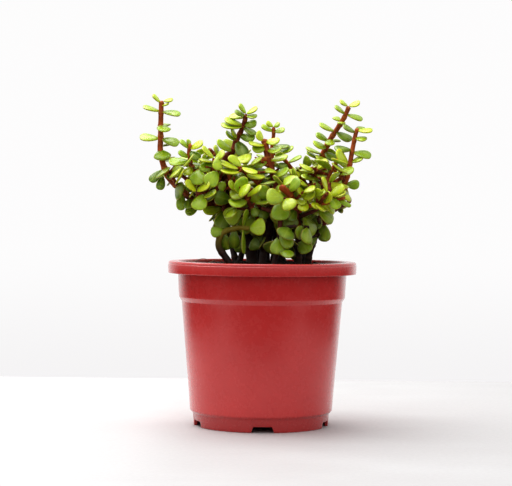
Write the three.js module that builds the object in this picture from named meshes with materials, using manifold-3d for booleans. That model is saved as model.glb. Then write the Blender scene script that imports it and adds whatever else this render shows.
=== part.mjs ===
// A small-leaved jade plant in a round plastic nursery pot. Millimetres, +Z up, front towards -Y.
// The plan is drawn about the pot's axis; the last lines move the whole so that its origin is
// the middle of its base.
import * as THREE from "three";
import { mergeVertices } from "three/addons/utils/BufferGeometryUtils.js";
import Module from "manifold-3d";

const wasm = await Module();
wasm.setup();

// ---- pot and soil -----------------------------------------------------------------------------
const potSides = 35; // facets round the pot, a multiple of its five notches
const rimTop = 130; // height of the pot
const rimRadius = 75;
const rimDrop = 9.5; // depth of the skirt that hangs from the rim
const rimInner = 67;
const wall = 1.6;
const collarTop = 67.7; // outer radius of the collar under the rim
const collarFoot = 66.2;
const collarHeight = 101.7;
const chamferDrop = 3.4; // the collar steps in to the main wall over this height
const wallTop = 64;
const wallFoot = 56.6;
const footHeight = 12.2; // the wall steps in to the foot below this height
const footTop = 54.4;
const footBottom = 53.7;
const footInner = 51.2;
const floorUnder = 5;
const floorOver = 6.6;
const notches = { count: 5, turn: 1.4, bottom: 18, top: 14.5, height: 4.5 };
const drainHoles = { count: 5, radius: 4, ring: 38 };
const soilEdge = 124.4;
const soilRise = 5; // how far the soil mounds up in the middle
const clearance = 0.3; // between pieces that touch

// ---- stems and leaves -------------------------------------------------------------------------
const stemSides = 5;
const rootDepth = 24; // how deep a stem stands in the soil
const rootSides = 6;
const rootCollar = 0.4; // a root is this much thicker, each way, than the stem above it
const leafShape = { sides: 5, placedSides: 7, thickness: 2, slim: 0.9 };
const leafGap = 2.4; // two leaves closer than this are taken to cross
const stemGap = 1.2; // a leaf keeps this far from any stem but at its own root
const rootBite = 0.8; // a leaf begins this far under the surface of its stem
const rootReach = 4; // this near its root a leaf may touch what it grows from
const overSoil = 2; // leaves hang no lower than this above the soil and the rim
const withinRim = 60; // leaves lower than the rim stay within this radius
const heart = [0, 0, 160]; // the middle of the bush, from which leaves turn their faces outward
const bareCore = { middle: [0, 5, 170], size: [46, 38, 30] }; // too dark in there for leaves
const openTop = { from: 205, to: 245 }; // over these heights a shoot comes free of the bush

// Each shoot: the node it belongs to, its route, its radii at foot and tip, and its leaf pairs by
// their distance from the tip. "turn" is the direction of the first pair, each next pair stands
// across the last, and "leaf" is the length of the smallest and of the full-grown leaf. Pairs
// nearer the tip than "byHand" are among the leaves placed one by one.
const shootData = {
  trunk: {
    node: "leafy_stem_left",
    route: [[-8, -8, 124], [-8, -8, 131], [-10, -8, 143], [-15, -8, 154], [-20, -8, 166]],
    radius: [4, 3.3],
    pairs: [],
    twigs: [[0.75, -100, 35, 24]],
  },
  leftTall: {
    node: "leafy_stem_left",
    route: [
      [-20, -8, 163], [-24, -8, 168], [-32, -10, 173], [-39, -13, 176], [-49, -16, 176],
      [-59, -18, 181], [-65, -19, 187], [-73, -18, 194], [-78, -17, 204], [-81, -16, 217],
      [-81, -14, 227], [-81, -12, 240], [-81, -10, 253], [-80, -10, 256],
    ],
    radius: [3.1, 1.9],
    pairs: [0, 8, 19, 27, 40, 53, 60, 69, 80],
    byHand: 45,
    turn: 0,
    leaf: [9, 14.5],
    twigs: [[0.1, -95, 40, 26], [0.16, 120, 45, 26], [0.27, -70, 55, 26], [0.44, -110, 30, 18]],
  },
  leftSmall: {
    node: "leafy_stem_left",
    route: [[-46, -16, 176], [-52, -24, 187], [-56, -28, 204], [-58, -28, 214], [-57, -28, 222]],
    radius: [2.1, 1.4],
    pairs: [0, 2, 8, 15, 23, 31],
    byHand: 18,
    turn: 20,
    leaf: [8, 14],
    twigs: [[0.35, -150, 30, 16], [0.3, -40, 35, 18]],
  },
  leftFork: {
    node: "leafy_stem_left",
    route: [[-47, -16, 176], [-50, -28, 179], [-51, -36, 183], [-51, -39, 186]],
    radius: [1.7, 1.2],
    pairs: [],
  },
  leftInner: {
    node: "leafy_stem_left",
    route: [[-38, -12, 176], [-36, -21, 187], [-36, -27, 199], [-39, -30, 208]],
    radius: [1.9, 1.3],
    pairs: [8, 17],
    turn: 60,
    leaf: [11, 16],
    twigs: [[0.45, -150, 40, 18]],
  },
  middleInner: {
    node: "leafy_stem_left",
    route: [[-20, -8, 166], [-24, -22, 180], [-26, -29, 194], [-27, -32, 203]],
    radius: [2, 1.3],
    pairs: [0, 4, 12, 21],
    turn: 10,
    leaf: [11, 16],
    twigs: [[0.45, -30, 20, 20]],
  },
  centreLeftTall: {
    node: "leafy_stem_left",
    route: [
      [-20, -8, 165], [-24, -4, 178], [-28, 0, 190], [-31, 2, 202], [-30, 2, 212], [-24, 2, 218],
      [-22, 2, 225], [-19, 2, 231], [-17, 1, 236], [-15, 0, 242], [-14, 0, 247],
    ],
    radius: [2.6, 1.3],
    pairs: [0, 3.5, 9, 15, 21, 28, 36, 44, 52, 61],
    byHand: 30,
    turn: 35,
    leaf: [11, 15],
    twigs: [[0.25, -150, 40, 22], [0.42, -60, 35, 20], [0.5, 170, 45, 18]],
  },
  leftBack: {
    node: "leafy_stem_left",
    route: [[-33, -10, 173], [-42, 4, 184], [-50, 14, 196], [-54, 18, 208]],
    radius: [2.2, 1.3],
    pairs: [0, 4, 13, 22, 31],
    turn: 40,
    leaf: [11, 16],
  },
  curl: {
    node: "curled_twig",
    route: [
      [-26, -38, 124], [-26, -38, 130], [-30, -38, 135], [-35, -38, 142], [-34, -38, 150],
      [-29, -38, 154], [-23, -38, 156], [-17, -39, 157], [-10, -41, 156],
    ],
    radius: [2.4, 1.5],
    pairs: [],
  },
  centre: {
    node: "leafy_stem_centre",
    route: [
      [0, -22, 124], [0, -22, 131], [3, -20, 151], [9, -16, 175], [11, -13, 188], [8, -10, 198],
      [4, -8, 210], [2, -6, 221], [0, -5, 227],
    ],
    radius: [3.2, 2.4],
    pairs: [0, 3, 8, 14, 40, 47, 55, 64],
    byHand: 38,
    turn: 25,
    leaf: [10, 14],
    twigs: [[0.36, -120, 35, 24], [0.34, -50, 35, 26], [0.46, -85, 30, 24], [0.55, -10, 40, 20]],
  },
  centreLow: {
    node: "leafy_stem_centre",
    route: [[3, -20, 151], [-6, -30, 168], [-13, -37, 180], [-15, -39, 190]],
    radius: [2.1, 1.4],
    pairs: [0, 3, 10, 18, 27],
    turn: 0,
    leaf: [11, 15.5],
    twigs: [[0.5, -150, 10, 18]],
  },
  centreLift: {
    node: "leafy_stem_centre",
    route: [[9, -16, 175], [1, -22, 186], [-9, -26, 196], [-17, -28, 204]],
    radius: [2, 1.3],
    pairs: [10, 18],
    turn: 35,
    leaf: [11, 16],
  },
  centreBack: {
    node: "leafy_stem_centre_back",
    route: [
      [9, 16, 124], [9, 16, 131], [11, 18, 155], [11, 20, 179], [8, 20, 199], [7, 20, 219],
      [8, 20, 231], [8, 20, 238],
    ],
    radius: [2.6, 1.3],
    pairs: [0, 3, 11, 20, 29, 38, 47, 56, 66],
    byHand: 22,
    turn: 5,
    leaf: [8, 14],
    twigs: [[0.35, 100, 35, 26]],
  },
  centreBackLeft: {
    node: "leafy_stem_centre_back",
    route: [[11, 18, 160], [0, 26, 176], [-8, 32, 192], [-10, 34, 204]],
    radius: [2.1, 1.3],
    pairs: [0, 4, 13, 22, 31],
    turn: 30,
    leaf: [11, 16],
  },
  front: {
    node: "leafy_stem_front",
    route: [[9, -46, 124], [9, -46, 131], [12, -46, 144], [13, -45, 157], [13, -42, 170], [12, -41, 178]],
    radius: [2.3, 1.6],
    pairs: [],
  },
  frontRight: {
    node: "leafy_stem_front_right",
    route: [
      [28, -28, 124], [28, -28, 131], [28, -30, 148], [27, -32, 162], [25, -36, 174], [20, -42, 183],
      [13, -50, 189],
    ],
    radius: [2.5, 2.6],
    pairs: [],
    twigs: [[0.55, -30, 20, 20], [0.7, -120, 15, 18]],
  },
  sprig: {
    node: "leafy_stem_front_right",
    route: [[27, -34, 169], [32, -40, 173], [39, -44, 175], [51, -46, 177], [63, -46, 181]],
    radius: [1.8, 1.2],
    pairs: [0, 9, 21, 33],
    turn: 50,
    leaf: [8, 12.5],
    twigs: [[0.5, -60, 35, 16], [0.7, 90, 65, 18]],
  },
  rightTall: {
    node: "leafy_stem_right",
    route: [
      [33, 6, 124], [33, 6, 131], [32, 6, 149], [34, 6, 170], [38, 6, 189], [44, 4, 206], [47, 4, 215],
      [51, 3, 223], [54, 2, 229], [61, 1, 240], [64, 0, 245], [67, 0, 252], [67, 0, 254],
    ],
    radius: [3, 1.7],
    pairs: [0, 8, 15, 25, 34, 43, 51, 60, 70, 80],
    byHand: 52,
    turn: 0,
    leaf: [8.5, 14],
    twigs: [[0.35, -80, 35, 24], [0.42, 10, 45, 20], [0.5, -100, 30, 22]],
  },
  smallRight: {
    node: "leafy_stem_right",
    route: [[38, 6, 186], [32, 2, 194], [25, 0, 201], [20, -1, 207], [16, -2, 212]],
    radius: [2, 1.5],
    pairs: [0, 4, 12, 20],
    turn: 70,
    leaf: [9, 12],
  },
  rightInner: {
    node: "leafy_stem_right",
    route: [[34, 6, 172], [37, -6, 183], [40, -14, 194], [42, -16, 204]],
    radius: [2, 1.3],
    pairs: [0, 4, 12, 21],
    turn: 0,
    leaf: [11, 16],
    twigs: [[0.5, -150, 35, 18]],
  },
  farRight: {
    node: "leafy_stem_far_right",
    route: [
      [36, -12, 124], [36, -12, 131], [38, -12, 140], [42, -13, 152], [48, -15, 161], [55, -17, 172],
      [61, -18, 184], [65, -18, 195], [68, -17, 208], [70, -15, 220], [72, -13, 230], [74, -12, 236],
    ],
    radius: [2.9, 1.6],
    pairs: [0, 9, 18, 28, 38, 48, 58],
    byHand: 32,
    turn: 0,
    leaf: [9, 14],
    twigs: [[0.3, -100, 20, 20], [0.5, 60, 35, 20], [0.62, -110, 40, 18]],
  },
  thirdRight: {
    node: "leafy_stem_far_right",
    route: [[44, -13, 155], [45, -20, 165], [47, -27, 178], [49, -28, 191], [53, -27, 202], [59, -26, 212]],
    radius: [2, 1.4],
    pairs: [0, 3, 10, 18, 27],
    turn: 30,
    leaf: [11, 16],
    twigs: [[0.5, -150, 25, 18]],
  },
  backLeft: {
    node: "leafy_stem_back_left",
    route: [[-22, 30, 124], [-22, 30, 131], [-28, 36, 152], [-36, 44, 172], [-42, 52, 190], [-44, 56, 206]],
    radius: [3, 1.4],
    pairs: [0, 4, 13, 22, 31, 41],
    turn: 15,
    leaf: [11, 17],
    twigs: [[0.45, 180, 35, 24], [0.5, 80, 35, 24]],
  },
  backLeftLow: {
    node: "leafy_stem_back_left",
    route: [[-27, 35, 148], [-36, 33, 163], [-45, 31, 178], [-51, 31, 193]],
    radius: [2.2, 1.3],
    pairs: [0, 4, 13, 22, 31],
    turn: 60,
    leaf: [11, 17],
    twigs: [[0.5, 100, 35, 20]],
  },
  back: {
    node: "leafy_stem_back",
    route: [[4, 44, 124], [4, 44, 131], [3, 50, 150], [-2, 58, 170], [-4, 64, 188], [-4, 66, 202]],
    radius: [2.8, 1.4],
    pairs: [0, 4, 13, 22, 31, 41],
    turn: 40,
    leaf: [11, 17],
    twigs: [[0.45, 30, 35, 24], [0.6, 110, 30, 27]],
  },
  backRight: {
    node: "leafy_stem_back_right",
    route: [[34, 34, 124], [34, 34, 131], [38, 40, 152], [44, 48, 172], [46, 54, 190], [46, 56, 204]],
    radius: [3, 1.4],
    pairs: [0, 4, 13, 22, 31, 41],
    turn: 75,
    leaf: [11, 17],
    twigs: [[0.45, 0, 35, 24], [0.5, 100, 35, 24]],
  },
  backRightLow: {
    node: "leafy_stem_back_right",
    route: [[38, 39, 150], [47, 35, 164], [53, 32, 179], [57, 31, 193]],
    radius: [2.2, 1.3],
    pairs: [0, 4, 13, 22, 31],
    turn: 20,
    leaf: [11, 17],
    twigs: [[0.5, 60, 35, 20]],
  },
};

const twig = { radius: [1.7, 1.2], pairs: [0, 5, 13], leaf: [14, 17], sides: 4 };
const stalk = { radius: [1, 0.8], least: 3, sides: 3 }; // carries a placed leaf this far off its shoot
const firstPair = 1.5; // the last pair sits this far below the tip of its shoot
const pairRise = { tip: 40, next: 24, drop: 11, least: -55 }; // how far a pair rises, in degrees

// Leaves that stand out, placed one by one: the shoot, where the root lies and the tip reaches, the
// width, and the way the upper face looks.
const toFront = [0, -1, 0.3];
const toFrontAndUp = [0, -0.7, 0.7];
const toRight = [0.9, -0.45, 0];
const placed = [
  ["front", [12, -42, 179], [14, -48, 163], 15, toFront],
  ["curl", [-11, -41, 156], [2, -46, 158], 14, toFront],
  ["curl", [-15, -40, 157], [-13, -42, 171], 9, toRight],
  ["curl", [-15, -40, 156], [-15, -43, 137], 7, toRight],
  ["curl", [-22, -38, 156], [-22, -36, 141], 9, toFront],
  ["curl", [-29, -38, 154], [-40, -41, 153], 9, toFront],
  ["leftTall", [-27, -8, 170], [-33, -18, 157], 12, toFront],
  ["leftTall", [-32, -10, 173], [-44, -20, 168], 9, toFrontAndUp],
  ["leftFork", [-51, -38, 185], [-60, -42, 192], 7, toFrontAndUp],
  ["leftFork", [-51, -38, 185], [-42, -42, 191], 7, toFrontAndUp],
  ["leftTall", [-64, -19, 186], [-64, -22, 170], 7.5, toFront],
  ["leftTall", [-56, -18, 180], [-60, -24, 172], 7.5, toFront],
  ["leftTall", [-49, -16, 176], [-60, -22, 168], 6.5, toFrontAndUp],
  ["leftTall", [-42, -14, 176], [-54, -24, 177], 11, toFront],
  ["leftSmall", [-46, -16, 176], [-36, -24, 183], 7, toFrontAndUp],
  ["frontRight", [19, -43, 184], [28, -48, 194], 11, toFrontAndUp],
  ["frontRight", [28, -30, 149], [35, -38, 138], 12, toFront],
  ["front", [12, -46, 142], [22, -58, 135], 9, toFrontAndUp],
  ["front", [12, -46, 151], [10, -52, 137], 11, toFront],
  ["front", [13, -46, 155], [21, -51, 142], 10, toFront],
  ["farRight", [48, -15, 162], [49, -22, 147], 8.5, toFront],
  ["farRight", [45, -14, 157], [39, -21, 168], 8.5, toFront],
  ["farRight", [65, -18, 190], [75, -22, 191], 8, toFront],
  ["sprig", [57, -46, 179], [67, -48, 174], 5, toFrontAndUp],
  ["leftTall", [-81, -10, 254], [-88, -12, 260], 8, [0.45, -0.4, 0.8]],
  ["leftTall", [-80, -10, 255], [-72, -12, 256], 8, [0, -0.45, 0.9]],
  ["leftTall", [-80, -11, 253], [-75, -15, 253], 5, [0, -0.5, 0.85]],
  ["leftTall", [-82, -11, 248], [-95, -14, 250], 12, [-0.1, -0.38, 0.92]],
  ["leftTall", [-79, -11, 247], [-66, -14, 245], 12, [0.15, -0.42, 0.9]],
  ["leftTall", [-80, -12, 236], [-77, -25, 231], 11, [0.1, -0.5, 0.85]],
  ["leftTall", [-80, -12, 235], [-77, 2, 239], 9, [0, -0.3, 0.95]],
  ["leftTall", [-82, -14, 227], [-97, -16, 226], 13, [-0.1, -0.5, 0.85]],
  ["leftTall", [-79, -14, 227], [-67, -17, 222], 13, [0.35, -0.55, 0.75]],
  ["leftTall", [-79, -15, 219], [-73, -8, 222], 6, [-0.2, -0.3, 0.9]],
  ["leftTall", [-80, -15, 217], [-78, -25, 209], 13.5, [0, -0.7, 0.7]],
  ["leftSmall", [-60, -28, 218], [-65, -30, 224], 8, [0.6, -0.4, 0.6]],
  ["leftSmall", [-57, -28, 218], [-47, -32, 222], 9, [-0.2, -0.7, 0.7]],
  ["leftSmall", [-58, -28, 218], [-59, -26, 225], 6, [0.8, -0.5, 0]],
  ["leftSmall", [-59, -28, 211], [-66, -32, 215], 7, [0.3, -0.6, 0.65]],
  ["leftSmall", [-57, -28, 216], [-50, -33, 210], 8, [0.2, -0.9, 0.3]],
  ["leftSmall", [-59, -28, 208], [-73, -33, 206], 11.5, [0.1, -0.55, 0.8]],
  ["leftSmall", [-58, -27, 204], [-59, -34, 197], 8, [0, -0.85, 0.5]],
  ["leftSmall", [-57, -27, 207], [-50, -34, 203], 8, [0.3, -0.8, 0.4]],
  ["leftInner", [-39, -30, 211], [-48, -36, 218], 10, [0.1, -0.6, 0.8]],
  ["leftInner", [-39, -30, 209], [-30, -34, 215], 10, [0.1, -0.6, 0.78]],
  ["leftInner", [-39, -31, 208], [-49, -38, 208], 9, [0, -0.4, 0.92]],
  ["leftInner", [-35, -34, 211], [-36, -40, 201], 8.5, [0.25, -0.9, 0.4]],
  ["leftInner", [-40, -30, 207], [-48, -38, 201], 9, [0, -0.85, 0.5]],
  ["leftSmall", [-50, -36, 201], [-51, -44, 190], 13.5, [-0.1, -0.8, 0.6]],
  ["leftInner", [-36, -38, 200], [-43, -45, 189], 12.5, [0.15, -0.95, 0.3]],
  ["leftFork", [-52, -42, 185], [-60, -46, 192], 8.5, [0.35, -0.7, 0.6]],
  ["leftFork", [-51, -42, 185], [-41, -46, 190], 9, [-0.3, -0.7, 0.6]],
  ["leftFork", [-47, -40, 182], [-50, -47, 170], 12.5, [-0.15, -0.92, 0.4]],
  ["leftTall", [-56, -21, 180], [-59, -27, 171], 8, [-0.3, -0.95, 0.1]],
  ["leftFork", [-46, -41, 180], [-36, -45, 184], 9, [-0.2, -0.55, 0.8]],
  ["middleInner", [-26, -30, 178], [-37, -36, 181], 12, [-0.15, -1, 0.1]],
  ["middleInner", [-32, -34, 185], [-32, -38, 192], 6.5, [0.1, -1, 0.1]],
  ["leftTall", [-33, -14, 172], [-46, -23, 168], 10, [0, -0.8, 0.6]],
  ["leftTall", [-28, -13, 170], [-34, -19, 156], 12.5, [-0.1, -1, 0.15]],
  ["leftTall", [-52, -18, 171], [-60, -22, 167], 7, [0, -0.8, 0.5]],
  ["centreLeftTall", [-15, 0, 248], [-20, -3, 254], 7, [0.5, -0.6, 0.6]],
  ["centreLeftTall", [-15, 0, 248], [-5, -3, 251], 8.5, [-0.1, -0.55, 0.83]],
  ["centreLeftTall", [-15, 0, 246], [-23, -4, 248], 8, [-0.1, -0.65, 0.75]],
  ["centreLeftTall", [-15, 0, 246], [-6, -4, 244], 8, [0.2, -0.6, 0.78]],
  ["centreLeftTall", [-16, 0, 244], [-27, 5, 245], 10, [-0.1, -0.5, 0.85]],
  ["centreLeftTall", [-17, 1, 239], [-31, -4, 241], 11.5, [-0.1, -0.55, 0.83]],
  ["centreLeftTall", [-18, 1, 237], [-33, -8, 236], 12, [0, -0.5, 0.85]],
  ["centreLeftTall", [-16, 1, 239], [-6, -4, 239], 8.5, [0.1, -0.85, 0.5]],
  ["centreLeftTall", [-16, 1, 236], [-7, -4, 230], 8, [0.5, -0.7, 0.4]],
  ["centreLeftTall", [-18, 2, 229], [-8, -6, 227], 9, [0.2, -0.9, 0.4]],
  ["centreLeftTall", [-19, 2, 227], [-26, -8, 233], 8, [0.3, -0.8, 0.5]],
  ["centreLeftTall", [-20, 2, 225], [-30, -6, 231], 8.5, [0.2, -0.7, 0.7]],
  ["centreLeftTall", [-20, 2, 225], [-15, -8, 213], 10.5, [0.1, -1, 0.1]],
  ["centreLeftTall", [-24, 2, 218], [-37, -8, 223], 11, [0.1, -0.7, 0.6]],
  ["centreLift", [-20, -28, 203], [-33, -36, 206], 12, [0, -0.55, 0.85]],
  ["centreLift", [-19, -30, 200], [-33, -40, 200], 12.5, [0, -0.55, 0.85]],
  ["centreLift", [-17, -26, 206], [-27, -26, 212], 8.5, [-0.3, -0.45, 0.85]],
  ["centreLift", [-17, -28, 205], [-6, -36, 198], 9.5, [0.3, -0.55, 0.8]],
  ["centreLift", [1, -23, 197], [-12, -31, 196], 12.5, [0, -0.5, 0.87]],
  ["centreLow", [-14, -40, 182], [-19, -46, 194], 14, [0.05, -0.85, 0.5]],
  ["centreLow", [-21, -38, 186], [-27, -42, 192], 8, [0.2, -0.7, 0.65]],
  ["centreLow", [-11, -38, 178], [-25, -46, 174], 12.5, [-0.1, -0.75, 0.65]],
  ["centreLow", [-13, -38, 181], [-1, -44, 188], 8, [-0.2, -0.65, 0.7]],
  ["front", [5, -34, 179], [-3, -40, 188], 10, [-0.3, -0.95, 0.3]],
  ["centreLow", [-6, -34, 176], [5, -42, 176], 7, [0, -0.5, 0.85]],
  ["centreLow", [2, -32, 173], [-1, -36, 164], 9, [0.1, -1, 0.1]],
  ["centreLow", [-11, -32, 173], [-4, -36, 166], 8, [0.1, -0.95, 0.2]],
  ["centreBack", [6, 20, 235], [-2, 14, 238], 7.5, [-0.1, -0.4, 0.9]],
  ["centreBack", [8, 20, 235], [17, 14, 235], 8, [0, -0.45, 0.9]],
  ["centreBack", [7, 20, 238], [4, 16, 242], 4.5, [0.6, -0.5, 0.5]],
  ["centreBack", [8, 20, 238], [12, 16, 240], 5, [-0.3, -0.5, 0.8]],
  ["centreBack", [9, 20, 222], [20, 12, 221], 9.5, [0, -0.45, 0.9]],
  ["centreBack", [10, 20, 216], [24, 12, 220], 9.5, [-0.25, -0.55, 0.8]],
  ["centre", [1, -7, 226], [-6, -13, 231], 9.5, [0, -0.55, 0.83]],
  ["centre", [2, -7, 226], [12, -13, 224], 9, [0.1, -0.8, 0.6]],
  ["centre", [0, -8, 222], [-11, -14, 222], 9.5, [-0.1, -0.55, 0.85]],
  ["centre", [0, -8, 221], [-8, -14, 217], 8.5, [-0.1, -0.85, 0.5]],
  ["centre", [3, -8, 219], [13, -16, 217], 10, [0.1, -0.75, 0.65]],
  ["centre", [6, -9, 211], [19, -14, 212], 9.5, [0.1, -0.6, 0.8]],
  ["centre", [3, -9, 209], [-8, -16, 205], 9, [-0.2, -0.75, 0.6]],
  ["centre", [4, -10, 201], [-6, -18, 201], 9, [0, -0.6, 0.75]],
  ["centre", [8, -13, 198], [19, -24, 201], 11, [0, -0.75, 0.6]],
  ["smallRight", [19, 0, 209], [30, -6, 213], 8.5, [-0.2, -0.45, 0.9]],
  ["smallRight", [20, 0, 208], [13, -8, 204], 8, [0, -0.9, 0.3]],
  ["rightTall", [67, 0, 253], [60, -3, 257], 7.5, [0.4, -0.5, 0.75]],
  ["rightTall", [68, 0, 253], [76, -3, 256], 8.5, [-0.2, -0.6, 0.75]],
  ["rightTall", [65, 0, 248], [56, -3, 253], 9.5, [0.4, -0.45, 0.8]],
  ["rightTall", [66, 1, 247], [78, -3, 243], 10.5, [0.25, -0.45, 0.87]],
  ["rightTall", [63, 1, 242], [56, 6, 245], 7, [0.2, -0.5, 0.85]],
  ["rightTall", [62, 1, 242], [61, -10, 239], 7, [0, -0.4, 0.92]],
  ["rightTall", [57, 2, 233], [44, -4, 238], 10.5, [0.25, -0.5, 0.85]],
  ["rightTall", [58, 2, 232], [69, -3, 226], 11, [0.3, -0.65, 0.7]],
  ["rightTall", [52, 3, 226], [42, -4, 231], 8.5, [0.1, -0.7, 0.7]],
  ["rightTall", [54, 3, 227], [52, -9, 222], 8, [0, -0.6, 0.8]],
  ["rightTall", [54, 3, 226], [61, 9, 227], 6, [0, -0.4, 0.9]],
  ["rightTall", [50, 3, 221], [40, -8, 222], 10.5, [0, -0.8, 0.6]],
  ["rightTall", [47, 3, 217], [34, -4, 219], 10.5, [0, -0.45, 0.9]],
  ["rightTall", [45, 3, 212], [35, -4, 216], 8, [0.3, -0.45, 0.85]],
  ["rightTall", [48, 3, 218], [57, -4, 211], 9, [0.35, -0.85, 0.35]],
  ["rightTall", [52, 0, 210], [42, -9, 211], 11, [0, -0.7, 0.7]],
  ["rightInner", [45, -14, 196], [30, -22, 196], 10.5, [0, -0.5, 0.87]],
  ["rightInner", [52, -14, 198], [42, -20, 197], 7, [0, -0.5, 0.87]],
  ["thirdRight", [57, -24, 201], [70, -30, 201], 11, [0.1, -0.7, 0.7]],
  ["farRight", [66, -20, 208], [56, -28, 216], 11.5, [0, -0.8, 0.6]],
  ["farRight", [72, -12, 233], [62, -16, 237], 9.5, [0.25, -0.5, 0.8]],
  ["farRight", [73, -12, 234], [85, -16, 233], 10.5, [0, -0.42, 0.9]],
  ["farRight", [73, -12, 234], [78, -3, 237], 7, [0, -0.4, 0.9]],
  ["farRight", [71, -13, 228], [80, -18, 226], 9, [0.1, -0.55, 0.85]],
  ["farRight", [70, -15, 217], [84, -19, 214], 11.5, [0.15, -0.6, 0.8]],
  ["farRight", [69, -15, 218], [56, -20, 219], 11, [0, -0.55, 0.85]],
  ["farRight", [69, -17, 208], [78, -21, 212], 8.5, [-0.25, -0.55, 0.8]],
  ["sprig", [33, -40, 183], [25, -46, 187], 8.5, [0, -0.75, 0.6]],
  ["sprig", [31, -42, 180], [40, -48, 183], 9, [0, -0.75, 0.6]],
  ["sprig", [32, -42, 178], [30, -49, 170], 9, [0, -0.8, 0.55]],
  ["sprig", [41, -44, 182], [49, -50, 186], 7.5, [0, -0.7, 0.7]],
  ["sprig", [41, -44, 180], [44, -48, 187], 8, [-0.3, -0.9, 0.2]],
  ["sprig", [51, -46, 182], [62, -50, 189], 9.5, [-0.1, -0.75, 0.6]],
  ["sprig", [54, -46, 182], [63, -52, 184], 7.5, [-0.1, -0.6, 0.8]],
  ["sprig", [52, -46, 181], [57, -50, 172], 9, [0.2, -0.9, 0.3]],
  ["thirdRight", [42, -18, 170], [42, -24, 156], 9, [-0.2, -1, 0]],
  ["farRight", [46, -15, 162], [48, -22, 147], 10.5, [0.1, -1, 0.05]],
];

const colours = { pot: 0xb2423f, soil: 0x2a1c14, left: 0x7f9f2e, right: 0x8fae36, back: 0x6d8a2c };

// ---- small helpers ----------------------------------------------------------------------------
const vector = (p) => new THREE.Vector3(...p);
const up = new THREE.Vector3(0, 0, 1);
const degrees = THREE.MathUtils.degToRad;

// An even draw from 0 to 1 that depends on its seed alone.
function vary(seed) {
  const wave = Math.sin(seed * 127.1 + 311.7) * 43758.5453;
  return wave - Math.floor(wave);
}

const swing = (seed, size) => (vary(seed) - 0.5) * 2 * size;

// A closed geometry as a solid, without the faces that have shrunk to an edge.
function solidOf(geometry) {
  geometry.deleteAttribute("normal");
  geometry.deleteAttribute("uv");
  const merged = mergeVertices(geometry, 1e-3);
  const triVerts = [];
  for (let i = 0; i < merged.index.count; i += 3) {
    const corners = [...merged.index.array.slice(i, i + 3)];
    if (new Set(corners).size === 3) triVerts.push(...corners);
  }
  const vertProperties = merged.attributes.position.array;
  return new wasm.Manifold(
    new wasm.Mesh({ numProp: 3, vertProperties, triVerts: new Uint32Array(triVerts) }),
  );
}

// Fusing can seal a hollow or free a scrap; only the outer skin of the main body is kept.
function mainBody(solid) {
  return solid.decompose().reduce((most, body) => (body.volume() > most.volume() ? body : most));
}

// A solid as a named mesh.
function meshOf(name, solid, material) {
  const made = solid.getMesh();
  const geometry = new THREE.BufferGeometry();
  geometry.setAttribute("position", new THREE.BufferAttribute(made.vertProperties, 3));
  geometry.setIndex(new THREE.BufferAttribute(made.triVerts, 1));
  geometry.computeVertexNormals();
  const mesh = new THREE.Mesh(geometry, material);
  mesh.name = name;
  return mesh;
}

// A profile of [radius, height] points turned about the Z axis.
function turned(points) {
  const profile = points.map(([radius, height]) => new THREE.Vector2(radius, height));
  return new THREE.LatheGeometry(profile, potSides).rotateX(Math.PI / 2);
}

// An upright cylinder from one height to another.
function post(x, y, bottom, top, radius, sides) {
  const geometry = new THREE.CylinderGeometry(radius, radius, top - bottom, sides);
  return geometry.rotateX(Math.PI / 2).translate(x, y, (bottom + top) / 2);
}

// ---- pot --------------------------------------------------------------------------------------
function potSolid() {
  const chamferFoot = collarHeight - chamferDrop;
  const skirtFoot = rimTop - rimDrop;
  const flangeUnder = rimTop - 2.4;
  const shell = solidOf(
    turned([
      [0, floorUnder],
      [footInner - 0.4, floorUnder],
      [footInner, 0],
      [footBottom - 0.5, 0],
      [footTop, footHeight - 2.2],
      [wallFoot, footHeight],
      [wallTop, chamferFoot],
      [collarFoot, collarHeight],
      [collarTop, flangeUnder],
      [rimRadius - 1.8, flangeUnder],
      [rimRadius - 1.4, skirtFoot],
      [rimRadius, skirtFoot],
      [rimRadius, rimTop - 2.2],
      [rimRadius - 0.7, rimTop - 0.6],
      [rimRadius - 1.8, rimTop],
      [rimInner, rimTop],
      [rimInner - 0.9, rimTop - 1.2],
      [collarFoot - wall, collarHeight],
      [wallTop - wall, chamferFoot],
      [wallFoot - wall - 0.6, footHeight - 3],
      [footInner, floorOver],
      [0, floorOver],
    ]),
  );
  return shell.subtract(wasm.Manifold.union([...notchCutters(), ...drainCutters()]));
}

// The gaps in the foot ring: a trapezium pushed through the ring.
function notchCutters() {
  const { count, turn, bottom, top, height } = notches;
  const outline = new THREE.Shape([
    new THREE.Vector2(-bottom / 2, -1),
    new THREE.Vector2(bottom / 2, -1),
    new THREE.Vector2(top / 2, height),
    new THREE.Vector2(-top / 2, height),
  ]);
  return Array.from({ length: count }, (_, k) => {
    const cutter = new THREE.ExtrudeGeometry(outline, { depth: 12, bevelEnabled: false });
    cutter.rotateX(Math.PI / 2).translate(0, -(footInner - 5), 0);
    cutter.rotateZ(degrees(turn + (360 / count) * k));
    return solidOf(cutter);
  });
}

function drainCutters() {
  const { count, radius, ring } = drainHoles;
  const hole = (x, y) => solidOf(post(x, y, floorUnder - 1, floorOver + 1, radius, 8));
  const around = Array.from({ length: count }, (_, k) => {
    const angle = ((k + 0.5) / count) * 2 * Math.PI;
    return hole(ring * Math.cos(angle), ring * Math.sin(angle));
  });
  return [...around, hole(0, 0)];
}

// ---- soil -------------------------------------------------------------------------------------
function soilTop(x, y) {
  const far = Math.min(1, Math.hypot(x, y) / rimInner);
  const lumps = Math.sin(x * 0.31 + 1.3) * Math.sin(y * 0.27 + 0.4) + 0.6 * Math.sin(x * 0.13 - y * 0.19);
  return soilEdge + soilRise * (1 - far * far) + 0.7 * lumps * (1 - far ** 6);
}

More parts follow.
